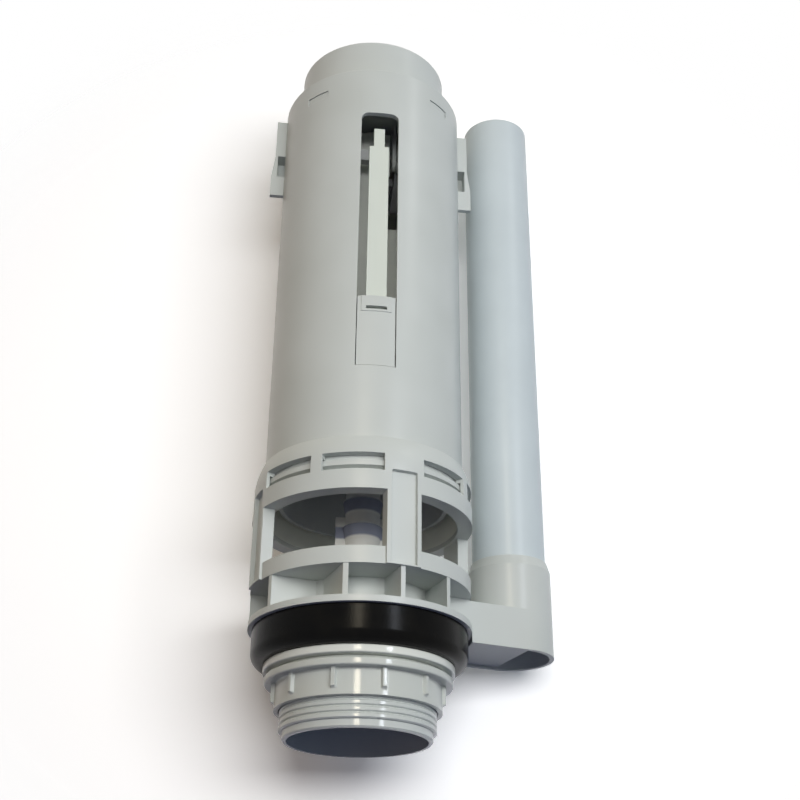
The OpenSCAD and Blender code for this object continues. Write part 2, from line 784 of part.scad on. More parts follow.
// Places of the four snap hooks, turned from the window's middle
snap_turns = [snap_angle, -snap_angle, 180 + snap_angle, 180 - snap_angle];

module tower_shell() {
    slot_w = snap_w + 2 * slide_gap;
    color(shell_grey) on_tower() difference() {
        union() {
            tower_wall_solid();
            rail();
            mirror([1, 0, 0]) rail();
            float_web();
        }
        translate([0, -half_float_y, window_z])
            towards_front(tower_r) arched(window_w, window_h, window_round);
        for (turn = snap_turns) rotate([0, 0, turn])
            translate([-slot_w / 2, -tower_r - cut, snap_z - slide_gap])
                cube([slot_w, tower_r - cap_ledge_r + cut, snap_h + 2 * slide_gap]);
    }
}

// A snap arm below the cap's flange, with its hook reaching out through the tower's wall
module snap_arm() {
    intersection() {
        union() {
            translate([-snap_w / 2, -snap_out_r, snap_z])
                cube([snap_w, snap_t + edge, cap_seat_z - snap_z + edge]);
            translate([-snap_w / 2, -tower_r, snap_z]) cube([snap_w, tower_r - snap_out_r + edge, snap_h]);
        }
        at_z(snap_z) tube(tower_r - slide_gap, snap_in_r, cap_t + cap_seat_z - snap_z);
    }
}

// Ears under the cap's floor on both sides of a lever, with the holes for its pin
module lever_ears(x, pivot_y) {
    ear_mid = lever_t / 2 + slide_gap + ear_t / 2;
    for (side = [-1, 1]) translate([x + side * ear_mid, pivot_y, 0]) along_x(ear_t) difference() {
        union() {
            translate([-ear_w / 2, pivot_z]) square([ear_w, floor_z - pivot_z + edge]);
            translate([0, pivot_z]) circle(ear_w / 2);
        }
        translate([0, pivot_z]) circle(pin_d / 2 + fit_gap / 2);
    }
}

// Places of the plungers' push legs, on the full side and the half side
full_leg = [lever_x, -leg_y];
half_leg = [-lever_x, leg_y];

module top_cap() {
    flange_out_r = tower_in_r - slide_gap;
    color(shell_grey) on_tower() difference() {
        union() {
            rotate_extrude() polygon([[neck_in_r, floor_z], [neck_r, floor_z], [neck_r, cap_seat_z],
                [flange_out_r, cap_seat_z], [flange_out_r, tower_top_z], [neck_r, tower_top_z],
                [neck_r, neck_top_z - edge], [neck_r - edge, neck_top_z], [neck_in_r, neck_top_z]]);
            at_z(floor_z) cylinder(r = neck_in_r + edge, h = floor_t);
            for (turn = snap_turns) rotate([0, 0, turn]) snap_arm();
            lever_ears(lever_x, full_pivot_y);
            lever_ears(-lever_x, half_pivot_y);
        }
        at_z(floor_z - cut) cylinder(r = rod_r + slide_gap, h = floor_t + 2 * cut);
        for (side = [-1, 1]) {
            translate([side * lever_x, -side * leg_y, floor_z - cut])
                cylinder(d = leg_d + 2 * slide_gap, h = floor_t + 2 * cut);
            translate([-side * lever_x, -side * leg_y, floor_z - cut])
                cylinder(d = guide_d + 2 * slide_gap, h = floor_t + 2 * cut);
        }
    }
}

// A plunger: half a disc in the neck on a push leg and a guide leg, drawn on the window's side
module plunger() {
    tip_h = (leg_d - leg_tip_d) / 2;
    difference() {
        at_z(pad_z) cylinder(r = pad_r, h = pad_t);
        at_z(pad_z - cut) cylinder(r = rod_r + 2 * pad_gap, h = pad_t + 2 * cut);
        translate([-pad_r, -pad_gap / 2, pad_z - cut]) cube([2 * pad_r, pad_r + cut, pad_t + 2 * cut]);
    }
    translate([full_leg[0], full_leg[1], leg_z]) {
        cylinder(d1 = leg_tip_d, d2 = leg_d, h = tip_h);
        translate([0, 0, tip_h]) cylinder(d = leg_d, h = pad_z + edge - leg_z - tip_h);
    }
    translate([-full_leg[0], full_leg[1], guide_leg_z])
        cylinder(d = guide_d, h = pad_z + edge - guide_leg_z);
}

module full_plunger() {
    color(shell_grey) on_tower() plunger();
}

module half_plunger() {
    color(shell_grey) on_tower() rotate([0, 0, 180]) plunger();
}

// Points of a coil spring that stands on the cap's floor under a plunger's pad
coil_steps = 16;
wire_sides = 6;
coil_rings = floor(coil_turns * coil_steps);
coil_rise = pad_z - floor_top_z - wire_d;
function coil_point(ring, side) =
    let (turn = ring * 360 / coil_steps, round = side * 360 / wire_sides)
    let (reach = coil_d / 2 + wire_d / 2 * cos(round))
    [reach * cos(turn), reach * sin(turn), wire_d / 2 * (1 + sin(round)) + coil_rise * ring / coil_rings];
coil_points = [for (ring = [0 : coil_rings], side = [0 : wire_sides - 1]) coil_point(ring, side)];
coil_sides = [for (ring = [0 : coil_rings - 1], side = [0 : wire_sides - 1])
    let (a = ring * wire_sides + side, b = ring * wire_sides + (side + 1) % wire_sides)
    each [[a, b, b + wire_sides], [a, b + wire_sides, a + wire_sides]]];
coil_ends = [[for (side = [wire_sides - 1 : -1 : 0]) side],
    [for (side = [0 : wire_sides - 1]) coil_rings * wire_sides + side]];

module return_spring(leg) {
    color(steel) on_tower() translate([leg[0], leg[1], floor_top_z])
        polyhedron(points = coil_points, faces = concat(coil_sides, coil_ends));
}

module full_spring() {
    return_spring(full_leg);
}

module half_spring() {
    return_spring(half_leg);
}

// Side view of a bar with round ends, from its pivot out to an arm's tip
module arm_bar(from, to) {
    translate([min(from, to), -lever_round]) square([abs(to - from), lever_h]);
    translate([to, 0]) circle(lever_round);
}

// Side view of the bore in a lever's hub
module lever_hub_bore() {
    circle(pin_d / 2 + pin_gap);
}

module full_lever() {
    color(inner_grey) on_tower() translate([lever_x, full_pivot_y, pivot_z]) along_x(lever_t)
        rotate(-full_rest) difference() {
            union() {
                arm_bar(0, -full_push_arm);
                arm_bar(0, full_lift_arm);
                circle(lever_hub_d / 2);
            }
            lever_hub_bore();
        }
}

// The half lever steps across to the window's middle, where its tip lifts the strip
module half_lever() {
    step_y = -half_lift_arm + 2 * lever_h;
    color(inner_grey) on_tower() translate([0, half_pivot_y, pivot_z]) {
        translate([-lever_x, 0, 0]) along_x(lever_t) rotate(half_rest) difference() {
            union() {
                arm_bar(0, half_push_arm);
                arm_bar(0, step_y);
                circle(lever_hub_d / 2);
            }
            lever_hub_bore();
        }
        translate([-lever_x / 2, 0, 0]) along_x(lever_x + lever_t) rotate(half_rest)
            translate([step_y - lever_round, -lever_round]) square([lever_h, lever_h]);
        along_x(lever_t) rotate(half_rest) arm_bar(step_y, -half_lift_arm);
    }
}

module lever_pin(x, pivot_y) {
    pin_l = lever_t + 2 * slide_gap + 2 * ear_t;
    color(steel) on_tower() translate([x - pin_l / 2, pivot_y, pivot_z]) rotate([0, 90, 0])
        cylinder(d = pin_d, h = pin_l);
}

module full_lever_pin() {
    lever_pin(lever_x, full_pivot_y);
}

module half_lever_pin() {
    lever_pin(-lever_x, half_pivot_y);
}

// Stem: stud and seal plate below, collared and finned core, float seat, and the lift rod above
module valve_stem() {
    collar_r1 = stem_r + stem_collar_out;
    cone_z = stem_z + stem_plain_h;
    cone_top_z = cone_z + stem_cone_h;
    upper_z = cone_top_z + stem_band_h;
    upper_top_z = upper_z + stem_cone_h;
    seat_out_r = stem_r + fin_out;
    plate_r = seal_plate_d / 2;
    color(inner_grey) on_tower() {
        rotate_extrude() polygon([[0, retainer_z - stud_bead_h], [stud_r, retainer_z - stud_bead_h],
            [bead_r, retainer_z - stud_bead_h / 2], [stud_r, retainer_z], [stud_r, seal_plate_z],
            [plate_r - edge, seal_plate_z], [plate_r, seal_plate_z + edge], [plate_r, stem_z - edge],
            [plate_r - edge, stem_z], [stem_r, stem_z], [stem_r, cone_z], [collar_r1, cone_top_z],
            [stem_r, cone_top_z], [stem_r, upper_z], [collar_r1, upper_top_z], [stem_r, upper_top_z],
            [stem_r, float_seat_z - float_seat_h],
            [seat_out_r, float_seat_z - float_seat_h], [seat_out_r, float_seat_z],
            [stem_r, float_seat_z], [stem_r, main_float_top_z],
            [stem_r - clip_groove, main_float_top_z], [stem_r - clip_groove, main_float_top_z + clip_t],
            [stem_r, main_float_top_z + clip_t], [stem_r, rod_z], [rod_r, rod_z + stem_r - rod_r],
            [rod_r, rod_top_z - edge], [rod_r - edge, rod_top_z], [0, rod_top_z]]);
        translate([-stem_r - fin_out, -fin_t / 2, stem_z - edge])
            cube([2 * (stem_r + fin_out), fin_t, fin_h + edge]);
    }
}

// Arm on the lift rod: its lug lies over the full lever's tip, beside the lever's bar
module lift_arm() {
    lug_y = full_tip_y - lever_round / 2;
    lug_l = lever_h + edge;
    beside = lever_x - lever_t / 2 - slide_gap;
    color(inner_grey) on_tower() difference() {
        at_z(arm_z) union() {
            cylinder(r = hub_r, h = arm_t);
            cube([beside, lug_y + lug_l, arm_t]);
            translate([0, lug_y, 0]) cube([lever_x + lever_t / 2, lug_l, arm_t]);
        }
        at_z(arm_z - cut) cylinder(r = rod_r + fit_gap, h = arm_t + 2 * cut);
    }
}

module seal_washer() {
    color(rubber_black) at_z(seal_z) tube(seal_d / 2, stud_r + fit_gap, seal_t);
}

module seal_retainer() {
    color(inner_grey) at_z(retainer_z) tube(seat_r - retainer_gap, stud_r + fit_gap, retainer_t);
}

// Main float: a cup open below that traps air, with a hub on the stem
module main_float() {
    hub_in_r = stem_r + fit_gap;
    color(inner_grey) rotate_extrude() polygon([[main_float_r - float_wall, main_float_z],
        [main_float_r, main_float_z], [main_float_r, main_float_top_z - edge],
        [main_float_r - edge, main_float_top_z], [hub_in_r, main_float_top_z],
        [hub_in_r, float_seat_z], [main_float_r - float_wall, float_seat_z]]);
}

// Open clip in the stem's groove above the main float
module float_clip() {
    color(inner_grey) on_tower() at_z(main_float_top_z) difference() {
        tube(clip_d / 2, stem_r - clip_groove + fit_gap, clip_t);
        rotate([0, 0, -45]) translate([0, 0, -cut]) cube([clip_d, clip_d, clip_t + 2 * cut]);
    }
}

// Strip behind the window, with a narrow tip and a hook over the half lever's tip
module half_strip() {
    color(strip_white) on_tower() {
        translate([0, -strip_back, 0]) towards_front(strip_t) {
            translate([-strip_w / 2, strip_z]) square([strip_w, strip_top_z - tip_l - strip_z]);
            translate([-tip_w / 2, strip_z]) square([tip_w, strip_top_z - strip_z]);
        }
        translate([-tip_w / 2, -strip_back - edge, hook_z]) cube([tip_w, hook_in + edge, hook_t]);
    }
}

// Half flush float: a panel in the window, guides beside the strip, and a float cup behind it
module half_float() {
    guide_in = strip_w / 2 + slide_gap;
    channel = strip_back - slide_gap;
    pad_rim = 2;
    pad_w = strip_w + 2 * pad_rim;
    pad_h = 1.5 * slit_drop;
    color(shell_grey) on_tower() difference() {
        union() {
            at_z(panel_z) intersection() {
                tube(panel_r, channel, panel_h);
                translate([-panel_w / 2, -tower_r, 0]) cube([panel_w, half_float_y, panel_h]);
            }
            at_z(panel_top_z - pad_h) intersection() {
                tube(panel_r + slide_gap, channel, pad_h);
                translate([-pad_w / 2, -tower_r, 0]) cube([pad_w, half_float_y, pad_h]);
            }
            at_z(half_float_z) intersection() {
                cylinder(r = half_float_r, h = panel_top_z - half_float_z);
                translate([-half_float_w, -tower_r, 0])
                    cube([2 * half_float_w, tower_r - half_float_y, panel_top_z - half_float_z]);
            }
        }
        at_z(half_float_z - cut) intersection() {
            cylinder(r = channel - float_wall, h = panel_top_z - float_wall - half_float_z + cut);
            translate([float_wall - half_float_w, -tower_r, 0])
                cube([2 * (half_float_w - float_wall), tower_r - half_float_y - float_wall, panel_h]);
        }
        translate([-guide_in, panel_t - panel_r, panel_z - cut])
            cube([2 * guide_in, panel_r - panel_t - channel, panel_h + 2 * cut]);
        translate([-strip_w / 2, -tower_r - cut, panel_top_z - slit_drop - slit_h])
            cube([strip_w, tower_r - channel, slit_h]);
    }
}

valve_base();
duct_floor();
base_gasket();
slip_washer();
back_nut();
overflow_tube();
tube_seal();
tower_shell();
top_cap();
full_plunger();
half_plunger();
full_spring();
half_spring();
full_lever();
half_lever();
full_lever_pin();
half_lever_pin();
valve_stem();
lift_arm();
seal_washer();
seal_retainer();
main_float();
float_clip();
half_strip();
half_float();
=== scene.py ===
"""Looks of the dual flush valve: finishes, turned and coiled pieces, stage and camera.

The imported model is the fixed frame. Lengths are in metres in that frame, and a name that ends in _mm holds
millimetres. The view's own axes are x to the right of the picture, y away from the eye and z up the tower.
"""

import logging
import math
from collections.abc import Mapping, Sequence
from dataclasses import dataclass
from enum import Enum

import bpy
import numpy as np
from mathutils import Matrix, Vector


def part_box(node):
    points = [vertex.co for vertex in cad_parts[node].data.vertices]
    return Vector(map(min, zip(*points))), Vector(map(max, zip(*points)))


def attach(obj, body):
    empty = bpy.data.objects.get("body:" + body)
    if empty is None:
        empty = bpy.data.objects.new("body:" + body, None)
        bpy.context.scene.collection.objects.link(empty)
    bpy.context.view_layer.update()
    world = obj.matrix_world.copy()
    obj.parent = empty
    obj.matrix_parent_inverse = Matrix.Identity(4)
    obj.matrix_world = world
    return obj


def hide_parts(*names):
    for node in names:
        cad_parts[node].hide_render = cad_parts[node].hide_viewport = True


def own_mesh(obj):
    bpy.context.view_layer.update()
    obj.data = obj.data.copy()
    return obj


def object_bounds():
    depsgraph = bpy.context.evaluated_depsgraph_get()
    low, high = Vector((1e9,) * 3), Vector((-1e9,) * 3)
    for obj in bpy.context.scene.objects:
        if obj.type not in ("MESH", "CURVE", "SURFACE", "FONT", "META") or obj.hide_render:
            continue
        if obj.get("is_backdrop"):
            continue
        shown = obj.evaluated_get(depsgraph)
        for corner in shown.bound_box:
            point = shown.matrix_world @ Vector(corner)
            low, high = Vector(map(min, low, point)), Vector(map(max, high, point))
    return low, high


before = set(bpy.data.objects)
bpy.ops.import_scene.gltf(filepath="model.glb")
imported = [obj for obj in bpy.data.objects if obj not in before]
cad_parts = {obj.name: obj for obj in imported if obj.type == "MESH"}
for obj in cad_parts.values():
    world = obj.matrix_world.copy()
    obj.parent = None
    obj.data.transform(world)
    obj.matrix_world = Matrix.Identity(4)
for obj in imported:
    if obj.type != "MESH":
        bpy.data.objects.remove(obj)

LOG = logging.getLogger("flush_valve")
MM = 0.001
# Edges of the new pieces that bend by more than this are drawn sharp.
SHARP_DEG = 50
# Columns of a turned ring of about the tail's size.
RING_COLUMNS = 192
# For each data type of the mix node, the numbers of its two inputs and of its output.
MIX_SOCKETS = {"FLOAT": (2, 3, 0), "RGBA": (6, 7, 2)}


class Slot(Enum):
    """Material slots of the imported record."""

    SHELL = "shell"
    NUT = "nut"
    TUBE = "tube"
    STRIP = "strip"
    INNER = "inner"
    RUBBER = "rubber"
    STEEL = "steel"


class Body(Enum):
    """Moving bodies that new pieces ride on."""

    BASE = "base"
    WASHER = "washer"
    NUT = "nut"
    TOWER = "tower"


def linear(colour: str) -> tuple[float, float, float, float]:
    """Turns an sRGB hex colour into linear red, green, blue and alpha.

    By the sRGB standard a part c becomes c / 12.92 up to 0.04045, and ((c + 0.055) / 1.055) ^ 2.4 above it.

    Args:
        colour: Six hex digits after a hash sign.

    Returns:
        The linear colour with an alpha of one.
    """
    parts = np.array([int(colour[i:i + 2], 16) for i in (1, 3, 5)]) / 255
    low, high = parts / 12.92, ((parts + 0.055) / 1.055) ** 2.4
    return (*np.where(parts <= 0.04045, low, high).tolist(), 1.0)


def add_node(tree: bpy.types.NodeTree, kind: str, settings: Mapping[str, object] | None = None,
             inputs: Mapping[str | int, object] | None = None) -> bpy.types.Node:
    """Adds one node to a tree with its settings, values and links.

    Args:
        tree: Node tree that takes the node.
        kind: Type name of the node.
        settings: Values of the node's own properties.
        inputs: For an input's name or number, the value it holds or the output that feeds it.

    Returns:
        The new node.
    """
    node = tree.nodes.new(kind)
    for name, value in (settings or {}).items():
        setattr(node, name, value)
    for name, value in (inputs or {}).items():
        if isinstance(value, bpy.types.NodeSocket):
            tree.links.new(value, node.inputs[name])
        else:
            node.inputs[name].default_value = value
    return node


def empty_tree(owner: bpy.types.Material | bpy.types.World) -> bpy.types.NodeTree:
    """Gives a material or world a node tree with nothing in it.

    Args:
        owner: The new material or world.

    Returns:
        Its empty node tree.
    """
    owner.use_nodes = True
    owner.node_tree.nodes.clear()
    return owner.node_tree


def own_place(tree: bpy.types.NodeTree) -> bpy.types.NodeSocket:
    """Adds the coordinates of a piece's own axes.

    Args:
        tree: Node tree that takes the node.

    Returns:
        The coordinates.
    """
    return add_node(tree, "ShaderNodeTexCoord").outputs["Object"]


def upward(tree: bpy.types.NodeTree, vector: bpy.types.NodeSocket) -> bpy.types.NodeSocket:
    """Adds the upward part of a vector.

    Args:
        tree: Node tree that takes the node.
        vector: Coordinates or a direction.

    Returns:
        Its Z.
    """
    return add_node(tree, "ShaderNodeSeparateXYZ", inputs={"Vector": vector}).outputs["Z"]


def noise(tree: bpy.types.NodeTree, place: bpy.types.NodeSocket, size_mm: float, detail: float,
          roughness: float = 0.5) -> bpy.types.NodeSocket:
    """Adds a cloudy pattern.

    Args:
        tree: Node tree that takes the node.
        place: Coordinates of the pattern.
        size_mm: Width of one of its cells.
        detail: Number of finer layers in it.
        roughness: How strong the finer layers are.

    Returns:
        The pattern, from zero to one.
    """
    made = add_node(tree, "ShaderNodeTexNoise", inputs={
        "Vector": place, "Scale": 1 / (size_mm * MM), "Detail": detail, "Roughness": roughness})
    return made.outputs["Fac"]


def remap(tree: bpy.types.NodeTree, value: bpy.types.NodeSocket, given: tuple[float, float] = (0.0, 1.0),
          wanted: tuple[float, float] = (0.0, 1.0), steps: str = "LINEAR") -> bpy.types.NodeSocket:
    """Adds a change from one range of values to another, which stops at the range's ends.

    Args:
        tree: Node tree that takes the node.
        value: Value to change.
        given: Ends of the range it is in.
        wanted: Ends of the range it goes to.
        steps: Kind of change between the ends.

    Returns:
        The changed value.
    """
    return add_node(tree, "ShaderNodeMapRange", {"interpolation_type": steps}, {
        "Value": value, "From Min": given[0], "From Max": given[1], "To Min": wanted[0],
        "To Max": wanted[1]}).outputs["Result"]


def calculated(tree: bpy.types.NodeTree, operation: str, *values: object,
               clamp: bool = False) -> bpy.types.NodeSocket:
    """Adds one sum on numbers.

    Args:
        tree: Node tree that takes the node.
        operation: Name of the sum.
        *values: Numbers, or the outputs that give them.
        clamp: Whether the result is kept from zero to one.

    Returns:
        The result.
    """
    return add_node(tree, "ShaderNodeMath", {"operation": operation, "use_clamp": clamp},
                    dict(enumerate(values))).outputs["Value"]


def mixed(tree: bpy.types.NodeTree, share: bpy.types.NodeSocket, first: object, second: object,
          kind: str = "RGBA") -> bpy.types.NodeSocket:
    """Adds a blend of two colours or numbers.

    Args:
        tree: Node tree that takes the node.
        share: Share of the second one.
        first: What a share of zero gives.
        second: What a share of one gives.
        kind: Data type of the two.

    Returns:
        The blend.
    """
    one, other, result = MIX_SOCKETS[kind]
    return add_node(tree, "ShaderNodeMix", {"data_type": kind}, {
        "Factor": share, one: first, other: second}).outputs[result]


def bumped(tree: bpy.types.NodeTree, height: bpy.types.NodeSocket, strength: float, depth_mm: float,
           normal: bpy.types.NodeSocket | None = None) -> bpy.types.NodeSocket:
    """Adds a fine relief that only the light sees.

    Args:
        tree: Node tree that takes the node.
        height: Pattern of the relief, from zero to one.
        strength: Share of the relief that shows.
        depth_mm: Depth of the whole relief.
        normal: Direction that the surface faces without it, or none for the mesh's own.

    Returns:
        The direction that the surface faces with it.
    """
    inputs = {"Strength": strength, "Distance": depth_mm * MM, "Height": height}
    if normal is not None:
        inputs["Normal"] = normal
    return add_node(tree, "ShaderNodeBump", inputs=inputs).outputs["Normal"]


@dataclass(frozen=True)
class Finish:
    """A named surface that is made into a material once and shared by its pieces."""

    label: str
    slot: Slot
    colour: str
    shade: str
    roughness: float

    def material(self) -> bpy.types.Material:
        """Makes the finish's material at its first use and finds it after that.

        Returns:
            The material.
        """
        made = bpy.data.materials.get(self.label)
        if made is None:
            made = bpy.data.materials.new(self.label)
            tree = empty_tree(made)
            shader = self.shader(tree)
            add_node(tree, "ShaderNodeOutputMaterial", inputs={"Surface": shader.outputs["BSDF"]})
        return made

    def shader(self, tree: bpy.types.NodeTree) -> bpy.types.Node:
        """Makes the finish's shader.

        Args:
            tree: Node tree that takes the nodes.

        Returns:
            The shader node.
        """
        raise NotImplementedError

    def blended(self, tree: bpy.types.NodeTree, share: bpy.types.NodeSocket) -> bpy.types.NodeSocket:
        """Blends the finish's colour into its shade.

        Args:
            tree: Node tree that takes the node.
            share: Share of the shade.

        Returns:
            The blended colour.
        """
        return mixed(tree, share, linear(self.colour), linear(self.shade))

    def gloss(self, tree: bpy.types.NodeTree, pattern: bpy.types.NodeSocket,
              spread: float) -> bpy.types.NodeSocket:
        """Lets the roughness vary with a pattern.

        Args:
            tree: Node tree that takes the node.
            pattern: The pattern, from zero to one.
            spread: How far the roughness goes below and above its own value.

        Returns:
            The roughness at each place.
        """
        return remap(tree, pattern, wanted=(self.roughness - spread, self.roughness + spread))


@dataclass(frozen=True)
class MouldedPlastic(Finish):
    """Injection-moulded plastic.

    The mould's fine spark grain breaks up the gloss, slow flow mottling shifts the grey a little, and every
    edge has the small radius that a mould leaves.
    """

    ior: float = 1.53
    specular: float = 0.26
    mottle_mm: float = 26.0
    mottle_detail: float = 1.0
    mottle_range: tuple[float, float] = (0.2, 0.8)
    grain_mm: float = 0.55
    grain_detail: float = 2.0
    grain_depth_mm: float = 0.012
    grain_strength: float = 0.35
    edge_mm: float = 0.25
    edge_samples: int = 6
    roughness_spread: float = 0.03

    def shader(self, tree: bpy.types.NodeTree) -> bpy.types.Node:
        """Makes a satin shader with mottled colour, uneven gloss, spark grain and softened edges.

        Args:
            tree: Node tree that takes the nodes.

        Returns:
            The shader node.
        """
        place = own_place(tree)
        mottle = noise(tree, place, self.mottle_mm, self.mottle_detail)
        colour = self.blended(tree, remap(tree, mottle, self.mottle_range))
        roughness = self.gloss(tree, mottle, self.roughness_spread)
        grain = noise(tree, place, self.grain_mm, self.grain_detail)
        edge = add_node(tree, "ShaderNodeBevel", {"samples": self.edge_samples}, {
            "Radius": self.edge_mm * MM})
        return add_node(tree, "ShaderNodeBsdfPrincipled", inputs={
            "Base Color": self.tinted(tree, place, colour),
            "Roughness": self.polished(tree, place, roughness),
            "IOR": self.ior, "Specular IOR Level": self.specular,
            "Normal": bumped(tree, grain, self.grain_strength, self.grain_depth_mm, edge.outputs["Normal"])})

    def tinted(self, tree: bpy.types.NodeTree, place: bpy.types.NodeSocket,
               colour: bpy.types.NodeSocket) -> bpy.types.NodeSocket:
        """Chooses the colour at each place; plain moulded plastic keeps its mottled colour.

        Args:
            tree: Node tree that takes the nodes.
            place: The piece's own coordinates.
            colour: The mottled colour.

        Returns:
            The colour to use.
        """
        return colour

    def polished(self, tree: bpy.types.NodeTree, place: bpy.types.NodeSocket,
                 roughness: bpy.types.NodeSocket) -> bpy.types.NodeSocket:
        """Chooses the roughness at each place; plain moulded plastic is as rough all over.

        Args:
            tree: Node tree that takes the nodes.
            place: The piece's own coordinates.
            roughness: The uneven roughness.

        Returns:
            The roughness to use.
        """
        return roughness


@dataclass(frozen=True)
class PolishedTail(MouldedPlastic):
    """Moulded plastic that is polished below a height, where its thread was cut into a polished mould."""

    polish: float = 0.1
    polish_below_mm: float = 2.0

    def polished(self, tree: bpy.types.NodeTree, place: bpy.types.NodeSocket,
                 roughness: bpy.types.NodeSocket) -> bpy.types.NodeSocket:
        """Takes the polish's roughness below its height and the given roughness above it.

        Args:
            tree: Node tree that takes the nodes.
            place: The piece's own coordinates.
            roughness: Roughness above the polish.

        Returns:
            The roughness at each place.
        """
        below = calculated(tree, "LESS_THAN", upward(tree, place), self.polish_below_mm * MM)
        return mixed(tree, below, roughness, self.polish, "FLOAT")


@dataclass(frozen=True)
class PaintedLightInside(MouldedPlastic):
    """Moulded plastic of an upright tube whose inside is painted paler: painted light that lifts the
    surfaces lying in shadow behind its window.
    """

    # Painted light: the paler colour inside the tube, which stands in for light on its shaded inner walls.
    inside: str = "#ECEFE8"
    inside_mm: float = 38.6

    def tinted(self, tree: bpy.types.NodeTree, place: bpy.types.NodeSocket,
               colour: bpy.types.NodeSocket) -> bpy.types.NodeSocket:
        """Takes the painted light's colour within a radius of the tower's axis and the given colour outside
        it.

        Args:
            tree: Node tree that takes the nodes.
            place: The piece's own coordinates.
            colour: Colour outside.

        Returns:
            The colour at each place.
        """
        across = add_node(tree, "ShaderNodeVectorMath", {"operation": "MULTIPLY"}, {0: place, 1: (1, 1, 0)})
        radius = add_node(tree, "ShaderNodeVectorMath", {"operation": "LENGTH"}, {
            0: across.outputs["Vector"]})
        within = calculated(tree, "LESS_THAN", radius.outputs["Value"], self.inside_mm * MM)
        return mixed(tree, within, colour, linear(self.inside))


@dataclass(frozen=True)
class ShadowBandedPlastic(MouldedPlastic):
    """Moulded plastic with painted shadow bands: darker rings at set heights, which fade out over a short
    blend.
    """

    # Colour of the painted shadow bands.
    ring: str = "#8E93A4"
    shadow_band_middles_mm: tuple[float, ...] = (55.1, 65.9)
    shadow_band_half_mm: float = 2.5
    blend_mm: float = 0.8

    def tinted(self, tree: bpy.types.NodeTree, place: bpy.types.NodeSocket,
               colour: bpy.types.NodeSocket) -> bpy.types.NodeSocket:
        """Lays the painted shadow bands over the mottled colour.

        Args:
            tree: Node tree that takes the nodes.
            place: The piece's own coordinates.
            colour: Colour between the painted shadow bands.

        Returns:
            The colour with painted shadow bands.
        """
        height = upward(tree, place)
        fade = tuple((self.shadow_band_half_mm + side * self.blend_mm / 2) * MM for side in (-1, 1))
        for middle in self.shadow_band_middles_mm:
            away = calculated(tree, "ABSOLUTE", calculated(tree, "SUBTRACT", height, middle * MM))
            colour = mixed(tree, remap(tree, away, fade), linear(self.ring), colour)
        return colour


@dataclass(frozen=True)
class DrawnPipe(Finish):
    """Extruded pipe: fine die lines run along it and a slow unevenness of tone lies across it."""

    ior: float = 1.53
    specular: float = 0.26
    line_mm: float = 1.1
    line_detail: float = 2.0
    line_stretch: float = 0.02
    line_depth_mm: float = 0.02
    line_strength: float = 0.4
    mottle_mm: float = 32.0
    mottle_detail: float = 3.0
    mottle_range: tuple[float, float] = (0.3, 0.7)
    roughness_spread: float = 0.06

    def shader(self, tree: bpy.types.NodeTree) -> bpy.types.Node:
        """Makes a satin shader whose lines are noise stretched along the pipe.

        Args:
            tree: Node tree that takes the nodes.

        Returns:
            The shader node.
        """
        place = own_place(tree)
        along = add_node(tree, "ShaderNodeMapping", inputs={
            "Vector": place, "Scale": (1.0, 1.0, self.line_stretch)})
        lines = noise(tree, along.outputs["Vector"], self.line_mm, self.line_detail)
        mottle = noise(tree, place, self.mottle_mm, self.mottle_detail)
        return add_node(tree, "ShaderNodeBsdfPrincipled", inputs={
            "Base Color": self.blended(tree, remap(tree, mottle, self.mottle_range)),
            "Roughness": self.gloss(tree, lines, self.roughness_spread),
            "IOR": self.ior, "Specular IOR Level": self.specular,
            "Normal": bumped(tree, lines, self.line_strength, self.line_depth_mm)})


@dataclass(frozen=True)
class MouldedRubber(Finish):
    """Moulded rubber: nearly black, with a pale bloom in patches and a fine skin that dulls its shine."""

    specular: float = 0.06
    bloom_mm: float = 9.0
    bloom_detail: float = 5.0
    bloom_roughness: float = 0.6
    bloom_range: tuple[float, float] = (0.42, 0.75)
    bloom_dulls: float = 0.06
    skin_mm: float = 0.7
    skin_detail: float = 3.0
    skin_depth_mm: float = 0.05
    skin_strength: float = 0.5

    def shader(self, tree: bpy.types.NodeTree) -> bpy.types.Node:
        """Makes a dark shader whose bloom also takes the shine off.

        Args:
            tree: Node tree that takes the nodes.

        Returns:
            The shader node.
        """
        place = own_place(tree)
        cloud = noise(tree, place, self.bloom_mm, self.bloom_detail, self.bloom_roughness)
        bloom = remap(tree, cloud, self.bloom_range)
        skin = noise(tree, place, self.skin_mm, self.skin_detail)
        dulled = (self.roughness, self.roughness + self.bloom_dulls)
        return add_node(tree, "ShaderNodeBsdfPrincipled", inputs={
            "Base Color": self.blended(tree, bloom), "Roughness": remap(tree, bloom, wanted=dulled),
            "Specular IOR Level": self.specular,
            "Normal": bumped(tree, skin, self.skin_strength, self.skin_depth_mm)})


@dataclass(frozen=True)
class DrawnSteel(Finish):
    """Drawn stainless wire: bright metal with faint die marks that blur its reflections."""

    mark_mm: float = 0.6
    mark_detail: float = 3.0
    roughness_spread: float = 0.08

    def shader(self, tree: bpy.types.NodeTree) -> bpy.types.Node:
        """Makes a metal shader with uneven gloss and tone.

        Args:
            tree: Node tree that takes the nodes.

        Returns:
            The shader node.
        """
        marks = noise(tree, own_place(tree), self.mark_mm, self.mark_detail)
        return add_node(tree, "ShaderNodeBsdfPrincipled", inputs={
            "Base Color": self.blended(tree, marks), "Metallic": 1.0,
            "Roughness": self.gloss(tree, marks, self.roughness_spread)})


# Grey of the moulded ABS and its slightly darker shade.
ABS_GREY = ("#C9CECB", "#C1C6C2")
# Satin grey ABS of the cap, plungers and half float: broad soft highlights and a faintly uneven grey.
SHELL = MouldedPlastic("abs_moulded_satin", Slot.SHELL, *ABS_GREY, 0.32)
# The tower's ABS with painted light inside: within the tube it is painted paler, so what shows behind the
# window looks lit although it lies in shadow.
TOWER = PaintedLightInside("abs_moulded_painted_light_inside", Slot.SHELL, *ABS_GREY, 0.32)
